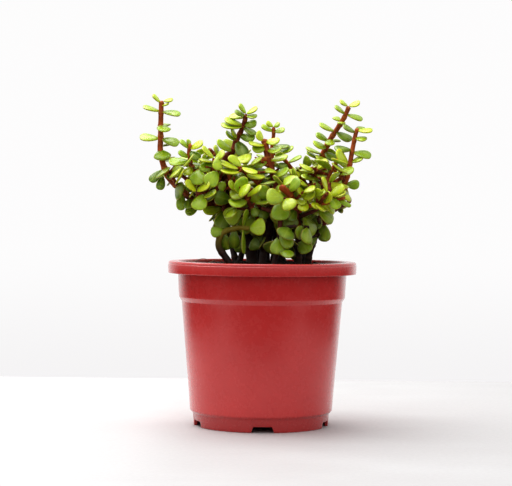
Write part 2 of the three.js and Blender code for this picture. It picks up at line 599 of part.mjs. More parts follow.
function soilSolid() {
  const fit = wall + clearance;
  const geometry = turned([
    [0, floorOver + clearance],
    [footInner + 0.2, floorOver + clearance],
    [wallTop - fit, collarHeight - chamferDrop - 0.1],
    [collarFoot - fit, collarHeight + 0.2],
    [rimInner - 1.6, soilEdge],
    [36, soilEdge + 1],
    [0, soilEdge + 1],
  ]);
  const place = geometry.attributes.position;
  for (let i = 0; i < place.count; i += 1) {
    const [x, y] = [place.getX(i), place.getY(i)];
    if (place.getZ(i) > soilEdge + 0.5) place.setZ(i, soilTop(x, y));
  }
  const holes = rootedShoots().map(({ route, radius }) => {
    const [x, y] = route[0];
    const wide = radius[0] + rootCollar + clearance;
    return solidOf(post(x, y, soilEdge - rootDepth, rimTop + soilRise + 4, wide, rootSides));
  });
  return solidOf(geometry).subtract(wasm.Manifold.union(holes));
}

// The first shoot of each node is the one that stands in the soil.
function rootedShoots() {
  const seen = new Set();
  return mainShoots.filter(({ node }) => !seen.has(node) && seen.add(node));
}

// ---- stems ------------------------------------------------------------------------------------
function withCurve(shoot) {
  const curve = new THREE.CatmullRomCurve3(shoot.route.map(vector), false, "catmullrom", 0.5);
  return { ...shoot, curve, length: curve.getLength() };
}

// A short straight side twig.
function twigFrom(shoot, [at, turn, rise, length]) {
  const start = shoot.curve.getPointAt(at);
  const flat = Math.cos(degrees(rise)) * length;
  const [ahead, aside] = [flat * Math.cos(degrees(turn)), flat * Math.sin(degrees(turn))];
  const end = start.clone().add(vector([ahead, aside, Math.sin(degrees(rise)) * length]));
  const route = [start.toArray(), end.toArray()];
  const pairs = twig.pairs.filter((distance) => distance < 0.8 * length);
  return withCurve({ ...twig, node: shoot.node, route, pairs, turn: turn + 45 });
}

const radiusAt = ({ radius }, at) => THREE.MathUtils.lerp(radius[0], radius[1], at);

// The point of a shoot nearest to another point, and how far along the shoot it lies.
function nearestOn(shoot, point) {
  const samples = shoot.curve.getSpacedPoints(60).map((spot, k) => ({ spot, at: k / 60 }));
  return samples.reduce((best, p) => (p.spot.distanceTo(point) < best.spot.distanceTo(point) ? p : best));
}

const mainShoots = Object.entries(shootData).map(([name, shoot]) => withCurve({ name, ...shoot }));
const shootNamed = (name) => mainShoots.find((shoot) => shoot.name === name);
const sideTwigs = (shoot) => (shoot.twigs ?? []).map((twigData) => twigFrom(shoot, twigData));

// The thin straight stalk of a placed leaf, where the leaf stands off its shoot.
function stalks([name, from]) {
  const shoot = shootNamed(name);
  const { spot } = nearestOn(shoot, vector(from));
  if (spot.distanceTo(vector(from)) < stalk.least) return [];
  return [withCurve({ ...stalk, node: shoot.node, route: [spot.toArray(), from], pairs: [] })];
}

const shoots = [...mainShoots.flatMap((shoot) => [shoot, ...sideTwigs(shoot)]), ...placed.flatMap(stalks)];

// The directions across a stem: "side" is to the right and "away" to the back of an upright one.
function across(tangent) {
  const side = new THREE.Vector3(0, 1, 0).cross(tangent).normalize();
  return { side, away: tangent.clone().cross(side) };
}

// A prism with a ring at each point of the route, bent onto the route and tapered.
function stemSolid({ curve, route, radius, turn = 0, sides = stemSides }) {
  const geometry = new THREE.CylinderGeometry(1, 1, 1, sides, route.length - 1);
  geometry.rotateY(degrees(turn + 180 / sides));
  const place = geometry.attributes.position;
  for (let i = 0; i < place.count; i += 1) {
    const along = place.getY(i) + 0.5;
    const { side, away } = across(curve.getTangent(along));
    const width = THREE.MathUtils.lerp(radius[0], radius[1], along);
    const point = curve.getPoint(along);
    point.addScaledVector(side, place.getX(i) * width).addScaledVector(away, -place.getZ(i) * width);
    place.setXYZ(i, point.x, point.y, point.z);
  }
  return solidOf(geometry);
}

function rootSolid({ route, radius }) {
  const [x, y] = route[0];
  const bottom = soilEdge - rootDepth + clearance;
  return solidOf(post(x, y, bottom, route[1][2], radius[0] + rootCollar, rootSides));
}

// ---- leaves -----------------------------------------------------------------------------------
// A leaf is { shoot, root, along, face, across, length, width }, with unit vectors for its three
// directions: from root to tip, out of its upper face, and over its width.
function leafFrom(shoot, root, along, face, length, width) {
  const upper = face.clone().addScaledVector(along, -face.dot(along)).normalize();
  return { shoot, root, along, face: upper, across: along.clone().cross(upper), length, width };
}

// How far from the middle of its stem a leaf begins, just under the surface.
const rootedAt = (shoot, at) => Math.max(0, 0.8 * radiusAt(shoot, at) - rootBite);

function placedLeaves() {
  return placed.map(([name, from, to, width, face]) => {
    const shoot = shootNamed(name);
    const { spot, at } = nearestOn(shoot, vector(from));
    const onShoot = spot.distanceTo(vector(from)) < stalk.least;
    const root = onShoot ? spot : vector(from);
    const start = onShoot ? rootedAt(shoot, at) : -rootBite;
    root.addScaledVector(vector(to).sub(root).normalize(), start);
    const along = vector(to).sub(root);
    return leafFrom(shoot, root, along.clone().normalize(), vector(face), along.length(), width);
  });
}

// One leaf of a pair, seen from the stem: how far round it stands, how far it rises and how far it
// rolls about its own length. Its face looks up and outward, away from the heart of the bush.
function leafOnStem(shoot, at, [turn, rise, roll], length, width) {
  const root = shoot.curve.getPointAt(at);
  const tangent = shoot.curve.getTangentAt(at);
  const { side, away } = across(tangent);
  const outward = side.multiplyScalar(Math.cos(turn)).addScaledVector(away, Math.sin(turn));
  const along = outward.clone().multiplyScalar(Math.cos(rise)).addScaledVector(tangent, Math.sin(rise));
  const face = tangent.clone().multiplyScalar(Math.cos(rise)).addScaledVector(outward, -Math.sin(rise));
  const free = THREE.MathUtils.smoothstep(root.z, openTop.from, openTop.to);
  const open = root.clone().sub(vector(heart)).normalize();
  along.addScaledVector(open, -0.6 * (1 - free) * along.dot(open)).normalize();
  root.addScaledVector(along, rootedAt(shoot, at));
  face.addScaledVector(up, 0.5).addScaledVector(open, THREE.MathUtils.lerp(1.3, 0.6, free));
  face.applyAxisAngle(along, roll);
  return leafFrom(shoot, root, along, face, length, width);
}

// The outline, one point for each angle from the root (0) round the tip (half a turn): an egg
// shape with its narrow end at the root.
function outline(angle) {
  const far = ((1 - Math.cos(angle)) / 2) ** 0.7;
  const out = Math.sin(angle) * (0.76 + 0.36 * far);
  return { far, out };
}

// A point of the leaf from its place over the blade: far 0..1 along it, out -1..1 over its width.
function onLeaf(leaf, far, out, lift) {
  return leaf.root
    .clone()
    .addScaledVector(leaf.along, far * leaf.length)
    .addScaledVector(leaf.across, (out * leaf.width) / 2)
    .addScaledVector(leaf.face, lift);
}

// A low cone over the outline: a flat underside, fanned from beside the tip, and an upper face
// raised in the middle.
function leafSolid(leaf) {
  const sides = leaf.placed ? leafShape.placedSides : leafShape.sides;
  const geometry = new THREE.ConeGeometry(1, 1, sides);
  const tipward = (Math.ceil(sides / 2 - 1) / sides) * 2 * Math.PI;
  const place = geometry.attributes.position;
  for (let i = 0; i < place.count; i += 1) {
    const [x, height, z] = [place.getX(i), place.getY(i), place.getZ(i)];
    const angle = Math.hypot(x, z) > 0.5 ? Math.atan2(x, z) : tipward;
    const { far, out } = height > 0 ? { far: 0.5, out: 0 } : outline(angle);
    const point = onLeaf(leaf, far, out, (height + 0.2) * leafShape.thickness);
    place.setXYZ(i, point.x, point.y, point.z);
  }
  return solidOf(geometry);
}

// ---- clearing ---------------------------------------------------------------------------------
// Points spread over a blade, to feel whether another blade or stem runs through it.
function feelers(leaf) {
  const points = [];
  for (const share of [0.5, 1]) {
    for (let k = 0; k < 8; k += 1) {
      const { far, out } = outline((k / 8) * 2 * Math.PI + 0.001);
      points.push(onLeaf(leaf, 0.5 + (far - 0.5) * share, out * share, 0));
    }
  }
  points.push(onLeaf(leaf, 0.5, 0, 0));
  return points.filter((p) => p.distanceTo(leaf.root) > rootReach);
}

// Whether any of these points lies in the flat egg of space that a leaf fills.
function pierces(points, leaf) {
  return points.some((p) => {
    const from = p.clone().sub(leaf.root);
    const far = from.dot(leaf.along) / leaf.length;
    if (far < 0.1 || far > 1.1) return false;
    const lift = from.dot(leaf.face);
    const out = from.dot(leaf.across) / (leaf.width / 2 + 0.5);
    return Math.abs(lift) < leafGap && out * out + (2 * far - 1.1) ** 2 < 1.1;
  });
}

// A point every 3 mm of every stem, with the stem's radius there.
const stemPoints = shoots.flatMap((shoot) => {
  const steps = Math.round(shoot.length / 3);
  return shoot.curve.getSpacedPoints(steps).map((point, k) => ({
    point,
    radius: radiusAt(shoot, k / steps),
  }));
});

const meetsStem = (points) =>
  stemPoints.some(({ point, radius }) => points.some((p) => p.distanceTo(point) < radius + stemGap));

function inCore(point) {
  const { middle, size } = bareCore;
  return point.clone().sub(vector(middle)).divide(vector(size)).length() < 1;
}

function isClear(leaf, others) {
  if (inCore(onLeaf(leaf, 0.5, 0, 0))) return false;
  const points = feelers(leaf);
  if (points.some((p) => p.z < soilTop(p.x, p.y) + overSoil)) return false;
  if (points.some((p) => p.z < rimTop + overSoil && Math.hypot(p.x, p.y) > withinRim)) return false;
  if (meetsStem(points)) return false;
  return !others.some((other) => {
    if (other.root.distanceTo(leaf.root) > other.length + leaf.length) return false;
    return pierces(points, other) || pierces(other.points, leaf);
  });
}

// How a leaf that is in the way is bent aside and lifted, in degrees, in the order tried.
const bends = [[0, 0], [14, 8], [-14, -10], [26, 18], [-26, 22], [10, 34], [-12, -32], [40, 30]];
const lastFullBend = 4; // a leaf that has to bend further than this one is also smaller

// Each pair of the rule, bent a little further until it is clear, or else left out.
function grownLeaves(leaves) {
  shoots.forEach((shoot, number) => {
    shoot.pairs.forEach((distance, k) => {
      if (distance < (shoot.byHand ?? 0)) return;
      const at = 1 - Math.min(0.98, (distance + firstPair) / shoot.length);
      for (const half of [0, 1]) {
        const seed = number * 61 + k * 4 + half * 2;
        const turn = shoot.turn + 90 * k + 180 * half + swing(seed, 14);
        const level = k === 0 ? pairRise.tip : pairRise.next - pairRise.drop * k;
        const rise = Math.max(pairRise.least, level + swing(seed + 1, 12));
        const grown = Math.min(1, k / 3);
        const full = THREE.MathUtils.lerp(shoot.leaf[0], shoot.leaf[1], grown);
        const length = full * (1 + swing(seed + 0.5, 0.1));
        const width = length * leafShape.slim * (1 + swing(seed + 1.5, 0.12));
        const roll = degrees(swing(seed + 2.5, 30));
        const trial = bends
          .map(([aside, lift], n) => {
            const size = n > lastFullBend ? 0.85 : 1;
            const angles = [degrees(turn + aside), degrees(rise + lift), roll];
            return leafOnStem(shoot, at, angles, length * size, width * size);
          })
          .find((leaf) => isClear(leaf, leaves));
        if (trial) leaves.push({ ...trial, points: feelers(trial) });
      }
    });
  });
  return leaves;
}

// ---- the whole --------------------------------------------------------------------------------
function plantSolids() {
  const start = placedLeaves().map((leaf) => ({ ...leaf, placed: true, points: feelers(leaf) }));
  const leaves = grownLeaves(start);
  const nodes = new Map();
  for (const shoot of shoots) {
    if (!nodes.has(shoot.node)) nodes.set(shoot.node, [rootSolid(shoot)]);
    nodes.get(shoot.node).push(stemSolid(shoot));
  }
  for (const leaf of leaves) nodes.get(leaf.shoot.node).push(leafSolid(leaf));
  return nodes;
}

const plant = new THREE.Group();
const potMaterial = new THREE.MeshStandardMaterial({ color: colours.pot, roughness: 0.35, metalness: 0 });
const soilMaterial = new THREE.MeshStandardMaterial({ color: colours.soil, roughness: 1, metalness: 0 });
plant.add(meshOf("pot", potSolid(), potMaterial));
plant.add(meshOf("soil", soilSolid(), soilMaterial));
for (const [name, solids] of plantSolids()) {
  const tone = name.includes("back") ? "back" : name.includes("right") ? "right" : "left";
  const green = new THREE.MeshStandardMaterial({ color: colours[tone], roughness: 0.4, metalness: 0 });
  plant.add(meshOf(name, mainBody(wasm.Manifold.union(solids)), green));
}

const middle = new THREE.Box3().setFromObject(plant).getCenter(new THREE.Vector3());
plant.position.set(-Math.round(middle.x), -Math.round(middle.y), 0);

const part = new THREE.Group();
part.add(plant);
export default part;
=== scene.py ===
# A small-leaved jade plant in a red plastic nursery pot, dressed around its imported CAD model.
# Lengths here are millimetres about the pot's axis (+Z up, front towards -Y) until a mesh is made.
import math

import bpy
import numpy as np
from mathutils import Matrix, Vector


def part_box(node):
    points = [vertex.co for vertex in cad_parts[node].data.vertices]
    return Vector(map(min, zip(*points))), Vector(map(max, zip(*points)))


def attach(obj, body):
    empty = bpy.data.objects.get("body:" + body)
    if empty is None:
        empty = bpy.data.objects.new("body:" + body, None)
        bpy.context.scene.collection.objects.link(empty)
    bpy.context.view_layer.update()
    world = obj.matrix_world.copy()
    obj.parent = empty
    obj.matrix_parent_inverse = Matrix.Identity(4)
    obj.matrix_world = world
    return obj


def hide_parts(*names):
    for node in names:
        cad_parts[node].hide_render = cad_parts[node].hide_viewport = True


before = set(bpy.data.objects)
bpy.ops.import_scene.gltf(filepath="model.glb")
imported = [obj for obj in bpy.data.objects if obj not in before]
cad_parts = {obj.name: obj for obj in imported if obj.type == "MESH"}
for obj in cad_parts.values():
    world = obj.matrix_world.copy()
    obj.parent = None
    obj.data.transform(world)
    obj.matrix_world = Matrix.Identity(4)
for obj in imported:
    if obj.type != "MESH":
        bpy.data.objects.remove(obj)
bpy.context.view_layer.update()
potLow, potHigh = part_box("pot")
potAxis = np.array([(potLow.x + potHigh.x) / 2, (potLow.y + potHigh.y) / 2, 0.0])
rng = np.random.default_rng(41)
upward = np.array([0.0, 0.0, 1.0])
print("frame loaded, pot axis at", potAxis)


# Rows of points ring by ring, closed at both ends by a pole: quads between the rings, fans at the
# ends. The layout of the points is first pole, rings, last pole.
def ringFaces(rows, columns):
    ring = np.arange(rows * columns).reshape(rows, columns) + 1
    beside = np.roll(ring, -1, axis=1)
    quads = np.stack([ring[:-1], beside[:-1], beside[1:], ring[1:]], axis=-1).reshape(-1, 4)
    first = np.stack([np.zeros(columns, int), beside[0], ring[0]], axis=-1)
    last = np.stack([np.full(columns, rows * columns + 1), ring[-1], beside[-1]], axis=-1)
    return quads, np.concatenate([first, last])


# The points of a closed surface of rings, in the layout above, as a batch of one.
def closedRings(first, ring, last):
    return np.concatenate([[first], ring.reshape(-1, 3), [last]])[None]


# Angles evenly spaced round a full turn.
def evenAngles(count):
    return np.arange(count) * 2 * math.pi / count


# Six times the signed volume of closed faces: the sum of the triple products of their corners.
def signedVolume(points, quads, fans):
    halves = np.concatenate([quads[:, [0, 1, 2]], quads[:, [0, 2, 3]], fans])
    a, b, c = points[halves[:, 0]], points[halves[:, 1]], points[halves[:, 2]]
    return np.einsum("ij,ij->i", a, np.cross(b, c)).sum()


# A batch of ring surfaces of one layout: places is copies x points x 3 in millimetres, and each of
# the marks is copies x points x 4, a float colour for the materials to read.
def ringBatch(places, rows, columns, **marks):
    quads, fans = ringFaces(rows, columns)
    if signedVolume(places[0], quads, fans) < 0:
        quads, fans = quads[:, ::-1], fans[:, ::-1]
    shift = (np.arange(len(places)) * places.shape[1])[:, None, None]
    return {"points": places.reshape(-1, 3), "quads": (quads + shift).reshape(-1, 4),
            "fans": (fans + shift).reshape(-1, 3),
            "marks": {key: value.reshape(-1, 4) for key, value in marks.items()}}


# One mesh from batches, all with the same marks.
def ringPiece(name, batches, material):
    offsets = np.cumsum([0] + [len(batch["points"]) for batch in batches])
    quads = np.concatenate([batch["quads"] + offset for batch, offset in zip(batches, offsets)])
    fans = np.concatenate([batch["fans"] + offset for batch, offset in zip(batches, offsets)])
    points = np.concatenate([batch["points"] for batch in batches]) / 1000 + potAxis
    corners = np.concatenate([quads.ravel(), fans.ravel()])
    starts = np.concatenate([np.arange(len(quads)) * 4, quads.size + np.arange(len(fans)) * 3])
    mesh = bpy.data.meshes.new(name)
    mesh.vertices.add(len(points))
    mesh.vertices.foreach_set("co", points.astype(np.float32).ravel())
    mesh.loops.add(len(corners))
    mesh.loops.foreach_set("vertex_index", corners.astype(np.int32))
    mesh.polygons.add(len(starts))
    mesh.polygons.foreach_set("loop_start", starts.astype(np.int32))
    mesh.update(calc_edges=True)
    for key in batches[0]["marks"]:
        values = np.concatenate([batch["marks"][key] for batch in batches])
        layer = mesh.attributes.new(key, "FLOAT_COLOR", "POINT")
        layer.data.foreach_set("color", values.astype(np.float32).ravel())
    mesh.shade_smooth()
    mesh.materials.append(material)
    piece = bpy.data.objects.new(name, mesh)
    bpy.context.scene.collection.objects.link(piece)
    return piece


# Each piece rides the one body and stands for its nodes of the frame, if any.
def settle(piece, slotName, *standsFor):
    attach(piece, "root")
    if standsFor:
        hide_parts(*standsFor)
    return piece


# Turns sets of points about an axis through the origin, each set by its own angle.
def turnedAbout(points, axis, angles):
    turn = angles[:, None, None]
    along = (points @ axis)[..., None] * axis
    return along + (points - along) * np.cos(turn) + np.cross(axis, points) * np.sin(turn)


# A smooth uneven field: a few crossed waves, each finer and lower than the last.
def unevenness(x, y, size, seed, octaves=5):
    total = 0.0
    turn, pitch, share = seed * 1.7, 2 * math.pi / size, 0.5
    for _ in range(octaves):
        ahead = x * math.cos(turn) + y * math.sin(turn)
        aside = y * math.cos(turn) - x * math.sin(turn)
        crossed = share * np.sin(ahead * pitch + turn * 3)
        total = total + crossed * np.sin(aside * pitch * 0.83 + turn * 5)
        turn, pitch, share = turn + 2.4, pitch * 1.87, share * 0.62
    return total


# A shader node: its settings are properties, and its inputs are values or other nodes' sockets.
def addNode(tree, kind, settings=None, **inputs):
    made = tree.nodes.new("ShaderNode" + kind)
    for key, value in (settings or {}).items():
        setattr(made, key, value)
    for key, value in inputs.items():
        join(tree, value, made.inputs[key.replace("_", " ")])
    return made


def join(tree, value, socket):
    if isinstance(value, bpy.types.NodeSocket):
        tree.links.new(value, socket)
    else:
        socket.default_value = value


def mixColour(tree, factor, first, second, blend="MIX"):
    made = addNode(tree, "Mix", {"data_type": "RGBA", "blend_type": blend})
    for value, place in ((factor, 0), (first, 6), (second, 7)):
        join(tree, value, made.inputs[place])
    return made.outputs[2]


# A smooth step between low and high, from toLow to toHigh.
def ramp(tree, value, low, high, toLow=0.0, toHigh=1.0):
    made = addNode(tree, "MapRange", {"interpolation_type": "SMOOTHSTEP"}, Value=value)
    limits = {"From Min": low, "From Max": high, "To Min": toLow, "To Max": toHigh}
    for key, number in limits.items():
        made.inputs[key].default_value = number
    return made.outputs[0]


def reckon(tree, operation, first, second=0.0):
    made = addNode(tree, "Math", {"operation": operation})
    join(tree, first, made.inputs[0])
    join(tree, second, made.inputs[1])
    return made.outputs[0]


def noise(tree, place, scale, detail=3.0, roughness=0.5):
    made = addNode(tree, "TexNoise", Vector=place, Scale=scale, Detail=detail, Roughness=roughness)
    return made.outputs["Fac"]


def stretched(tree, place, scale):
    return addNode(tree, "Mapping", Vector=place, Scale=scale).outputs[0]


def startMaterial(name, **sockets):
    material = bpy.data.materials.new(name)
    material.use_nodes = True
    tree = material.node_tree
    shader = tree.nodes["Principled BSDF"]
    for key, value in sockets.items():
        shader.inputs[key.replace("_", " ")].default_value = value
    place = addNode(tree, "TexCoord").outputs["Object"]
    return material, tree, shader, place


# The channels of a mark that a mesh carries on its points.
def markOf(tree, name):
    colour = addNode(tree, "Attribute", {"attribute_name": name}).outputs["Color"]
    return addNode(tree, "SeparateColor", Color=colour).outputs


# Each bump is a height, its strength and its distance in metres, and the next lies on top of it.
def finishMaterial(tree, shader, colour, roughness, bumps):
    join(tree, colour, shader.inputs["Base Color"])
    join(tree, roughness, shader.inputs["Roughness"])
    normal = None
    for height, strength, distance in bumps:
        bump = addNode(tree, "Bump", Height=height, Strength=strength, Distance=distance)
        if normal:
            tree.links.new(normal, bump.inputs["Normal"])
        normal = bump.outputs[0]
    if normal:
        tree.links.new(normal, shader.inputs["Normal"])


plasticLook = {
    "colour": (0.59, 0.032, 0.030, 1), "deep": (0.555, 0.026, 0.025, 1),
    "worn": (0.65, 0.052, 0.049, 1), "scuffed": 0.35, "streaked": 0.15,
    # The rim's paler colour is a painted highlight, and the foot's deeper red a painted shade.
    "lipHighlight": (0.78, 0.11, 0.1, 1), "lipHighlightFrom": (0.1195, 0.123),
    "foot": (0.30, 0.01, 0.01, 1), "footShadeTo": (0.009, 0.014),
    "roughness": (0.2, 0.34), "mouldGrain": 2600, "scuffScale": 130,
}


def plasticMaterial():
    look = plasticLook
    material, tree, shader, place = startMaterial(
        "red moulded plastic", IOR=1.5, Coat_Weight=0.9, Coat_Roughness=0.22)
    cloud = noise(tree, place, 26, 4)
    streak = noise(tree, stretched(tree, place, (1, 1, 0.12)), 190, 3, 0.6)
    scuff = noise(tree, place, look["scuffScale"], 6, 0.7)
    colour = mixColour(tree, ramp(tree, cloud, 0.35, 0.7), look["colour"], look["deep"])
    scuffed = ramp(tree, scuff, 0.58, 0.78, 0, look["scuffed"])
    streaked = ramp(tree, streak, 0.5, 0.85, 0, look["streaked"])
    colour = mixColour(tree, scuffed, colour, look["worn"])
    colour = mixColour(tree, streaked, colour, look["worn"])
    height = addNode(tree, "SeparateXYZ", Vector=place).outputs[2]
    # Painted highlight: the rim above 123 mm is mixed a fifth of the way towards a paler pink.
    colour = mixColour(tree, ramp(tree, height, *look["lipHighlightFrom"], 0, 0.2), colour, look["lipHighlight"])
    # Painted shade: from 14 mm down to 9 mm the foot darkens up to halfway towards a deep red.
    colour = mixColour(tree, ramp(tree, height, *look["footShadeTo"], 0.5, 0), colour, look["foot"])
    roughness = ramp(tree, scuff, 0.3, 0.75, *look["roughness"])
    grain = noise(tree, place, look["mouldGrain"], 2)
    finishMaterial(tree, shader, colour, roughness,
                   [(cloud, 0.1, 0.002), (streak, 0.04, 0.0006), (grain, 0.05, 0.0002)])
    return material


soilLook = {
    "dark": (0.012, 0.006, 0.004, 1), "mid": (0.035, 0.018, 0.011, 1),
    "pale": (0.13, 0.08, 0.05, 1),
}


def soilMaterial():
    look = soilLook
    material, tree, shader, place = startMaterial("damp potting soil")
    coarse = noise(tree, place, 160, 6, 0.65)
    fine = noise(tree, place, 900, 4, 0.7)
    colour = mixColour(tree, ramp(tree, coarse, 0.35, 0.65), look["dark"], look["mid"])
    colour = mixColour(tree, ramp(tree, fine, 0.6, 0.78, 0, 0.7), colour, look["pale"])
    finishMaterial(tree, shader, colour, ramp(tree, coarse, 0.3, 0.7, 0.75, 1.0),
                   [(coarse, 0.8, 0.002), (fine, 0.7, 0.0008)])
    return material


crumbLook = {
    "bark": (0.05, 0.022, 0.012, 1), "peat": (0.015, 0.008, 0.005, 1),
    "grit": (0.32, 0.27, 0.22, 1),
}


def crumbMaterial():
    look = crumbLook
    material, tree, shader, place = startMaterial("bark and grit crumbs")
    kind = markOf(tree, "crumb")
    grain = noise(tree, stretched(tree, place, (1, 1, 3)), 700, 5, 0.7)
    colour = mixColour(tree, kind[0], look["peat"], look["bark"])
    colour = mixColour(tree, kind[1], colour, look["grit"])
    colour = mixColour(tree, ramp(tree, grain, 0.4, 0.8, 0, 0.4), colour, look["bark"], "ADD")
    roughness = ramp(tree, grain, 0.3, 0.7, 0.7, 0.95)
    finishMaterial(tree, shader, colour, roughness, [(grain, 0.6, 0.0006)])
    return material


# The lighter middle and the darker rim of each blade below are painted light and painted shade.
leafLook = {
    "old": (0.11, 0.20, 0.004, 1), "grown": (0.33, 0.50, 0.007, 1), "young": (0.64, 0.74, 0.012, 1),
    "under": (0.20, 0.30, 0.03, 1), "edge": (0.50, 0.26, 0.04, 1), "bloom": (0.54, 0.66, 0.15, 1),
    "roughness": (0.26, 0.42), "crownHighlight": 0.2, "shade": 0.3, "veinPitch": 44.0,
}


# Young leaves are yellow and old ones deep green, each by its own tone. The middle of the blade has
# a painted highlight and the rim painted shade, and the side veins are waves of how far along less
# how far aside.
def leafMaterial():
    look = leafLook
    material, tree, shader, place = startMaterial(
        "waxy jade leaf", IOR=1.4, Subsurface_Weight=0.5, Subsurface_Scale=0.004,
        Coat_Weight=0.55, Coat_Roughness=0.3)
    shader.inputs["Subsurface Radius"].default_value = (0.9, 1.0, 0.1)
    young, chance, rim = markOf(tree, "leaf")[:3]
    far, out, top = markOf(tree, "blade")[:3]
    cloud = noise(tree, place, 120, 4, 0.6)
    speck = noise(tree, place, 1500, 3, 0.6)
    colour = mixColour(tree, ramp(tree, chance, 0.1, 0.9), look["old"], look["grown"])
    colour = mixColour(tree, ramp(tree, young, 0.0, 1.0), colour, look["young"])
    colour = mixColour(tree, ramp(tree, cloud, 0.4, 0.75, 0, 0.35), colour, look["grown"])
    patch = noise(tree, place, 330, 3, 0.6)
    colour = mixColour(tree, ramp(tree, patch, 0.5, 0.75, 0, 0.4), colour, look["old"])
    colour = mixColour(tree, ramp(tree, patch, 0.45, 0.25, 0, 0.22), colour, look["bloom"])
    colour = mixColour(tree, ramp(tree, top, 0.3, 0.6, 0.55, 0), colour, look["under"])
    # Painted highlight: the middle of the blade is mixed towards the young yellow.
    lit = reckon(tree, "MULTIPLY", ramp(tree, far, 0.15, 0.55), ramp(tree, rim, 0.85, 0.1))
    colour = mixColour(tree, reckon(tree, "MULTIPLY", lit, look["crownHighlight"]), colour, look["young"])
    # Painted shade: the rim is mixed towards the old deep green, most on the leaves that are
    # already darker.
    shade = ramp(tree, rim, 0.5, 0.95, 0, look["shade"])
    deep = reckon(tree, "MULTIPLY", shade, ramp(tree, chance, 0.8, 0.2))
    colour = mixColour(tree, deep, colour, look["old"])
    aside = reckon(tree, "ABSOLUTE", reckon(tree, "SUBTRACT", out, 0.5))
    slant = reckon(tree, "SUBTRACT", far, aside)
    feather = reckon(tree, "SINE", reckon(tree, "MULTIPLY", slant, look["veinPitch"]))
    midrib, sideVeins = ramp(tree, aside, 0.0, 0.06, 0.2, 0), ramp(tree, feather, 0.6, 1.0, 0, 0.1)
    vein = reckon(tree, "MAXIMUM", midrib, sideVeins)
    colour = mixColour(tree, vein, colour, look["bloom"])
    colour = mixColour(tree, ramp(tree, far, 0.0, 0.16, 0.5, 0), colour, look["bloom"])
    colour = mixColour(tree, ramp(tree, rim, 0.82, 1.0, 0, 0.45), colour, look["edge"])
    colour = mixColour(tree, ramp(tree, speck, 0.6, 0.8, 0, 0.12), colour, look["bloom"])
    roughness = ramp(tree, cloud, 0.3, 0.7, *look["roughness"])
    finishMaterial(tree, shader, colour, roughness,
                   [(cloud, 0.35, 0.0012), (vein, 0.15, 0.0006), (speck, 0.1, 0.0002)])
    return material


stemLook = {
    "young": (0.50, 0.10, 0.012, 1), "grown": (0.22, 0.026, 0.005, 1),
    "old": (0.026, 0.008, 0.004, 1), "joint": (0.60, 0.20, 0.03, 1),
    "cork": (0.15, 0.05, 0.015, 1), "olive": (0.26, 0.21, 0.014, 1),
}


# Stems brown with age, and are lighter at their joints and where cork shows in streaks.
def stemMaterial():
    look = stemLook
    material, tree, shader, place = startMaterial("red-brown jade stem", IOR=1.4)
    age, joint, olive = markOf(tree, "stem")[:3]
    streak = noise(tree, stretched(tree, place, (1, 1, 0.25)), 900, 5, 0.65)
    cloud = noise(tree, place, 220, 4)
    colour = mixColour(tree, ramp(tree, age, 0.0, 0.35), look["young"], look["grown"])
    colour = mixColour(tree, ramp(tree, age, 0.45, 0.95), colour, look["old"])
    colour = mixColour(tree, ramp(tree, cloud, 0.4, 0.7, 0, 0.35), colour, look["old"])
    swollen, fresh = ramp(tree, joint, 0.35, 0.9, 0, 0.7), ramp(tree, age, 0.3, 0.75, 1, 0.1)
    colour = mixColour(tree, reckon(tree, "MULTIPLY", swollen, fresh), colour, look["joint"])
    aged = ramp(tree, age, 0.2, 0.9, 0.15, 0.4)
    cork = reckon(tree, "MULTIPLY", ramp(tree, streak, 0.5, 0.72), aged)
    colour = mixColour(tree, cork, colour, look["cork"])
    colour = mixColour(tree, olive, colour, look["olive"])
    finishMaterial(tree, shader, colour, ramp(tree, streak, 0.3, 0.7, 0.42, 0.7),
                   [(streak, 0.5, 0.0008), (cloud, 0.4, 0.0015)])
    return material


hairLook = {"pale": (0.55, 0.42, 0.33, 1), "brown": (0.30, 0.17, 0.11, 1)}


def hairMaterial():
    material, tree, shader, place = startMaterial("pale hair root")
    tint = noise(tree, place, 500, 3)
    colour = mixColour(tree, ramp(tree, tint, 0.35, 0.7), hairLook["pale"], hairLook["brown"])
    roughness = ramp(tree, tint, 0.3, 0.7, 0.6, 0.85)
    finishMaterial(tree, shader, colour, roughness, [(tint, 0.3, 0.0004)])
    return material


potForm = {
    "columns": 240, "rimTop": 130, "rimRadius": 75, "rimDrop": 9.5, "rimInner": 67, "wall": 1.6,
    "collarTop": 67.7, "collarFoot": 66.2, "collarHeight": 101.7, "chamferDrop": 3.4,
    "wallTop": 64, "wallFoot": 56.6, "footHeight": 12.2, "footTop": 54.4, "footBottom": 53.7,
    "footInner": 51.2, "floorUnder": 5, "floorOver": 6.6, "ripple": 0.1, "oval": 0.0012,
}
notchForm = {"count": 5, "turn": 1.4, "bottom": 18, "top": 14.5, "height": 4.5}
drainForm = {"count": 5, "radius": 4, "ring": 38, "columns": 28}


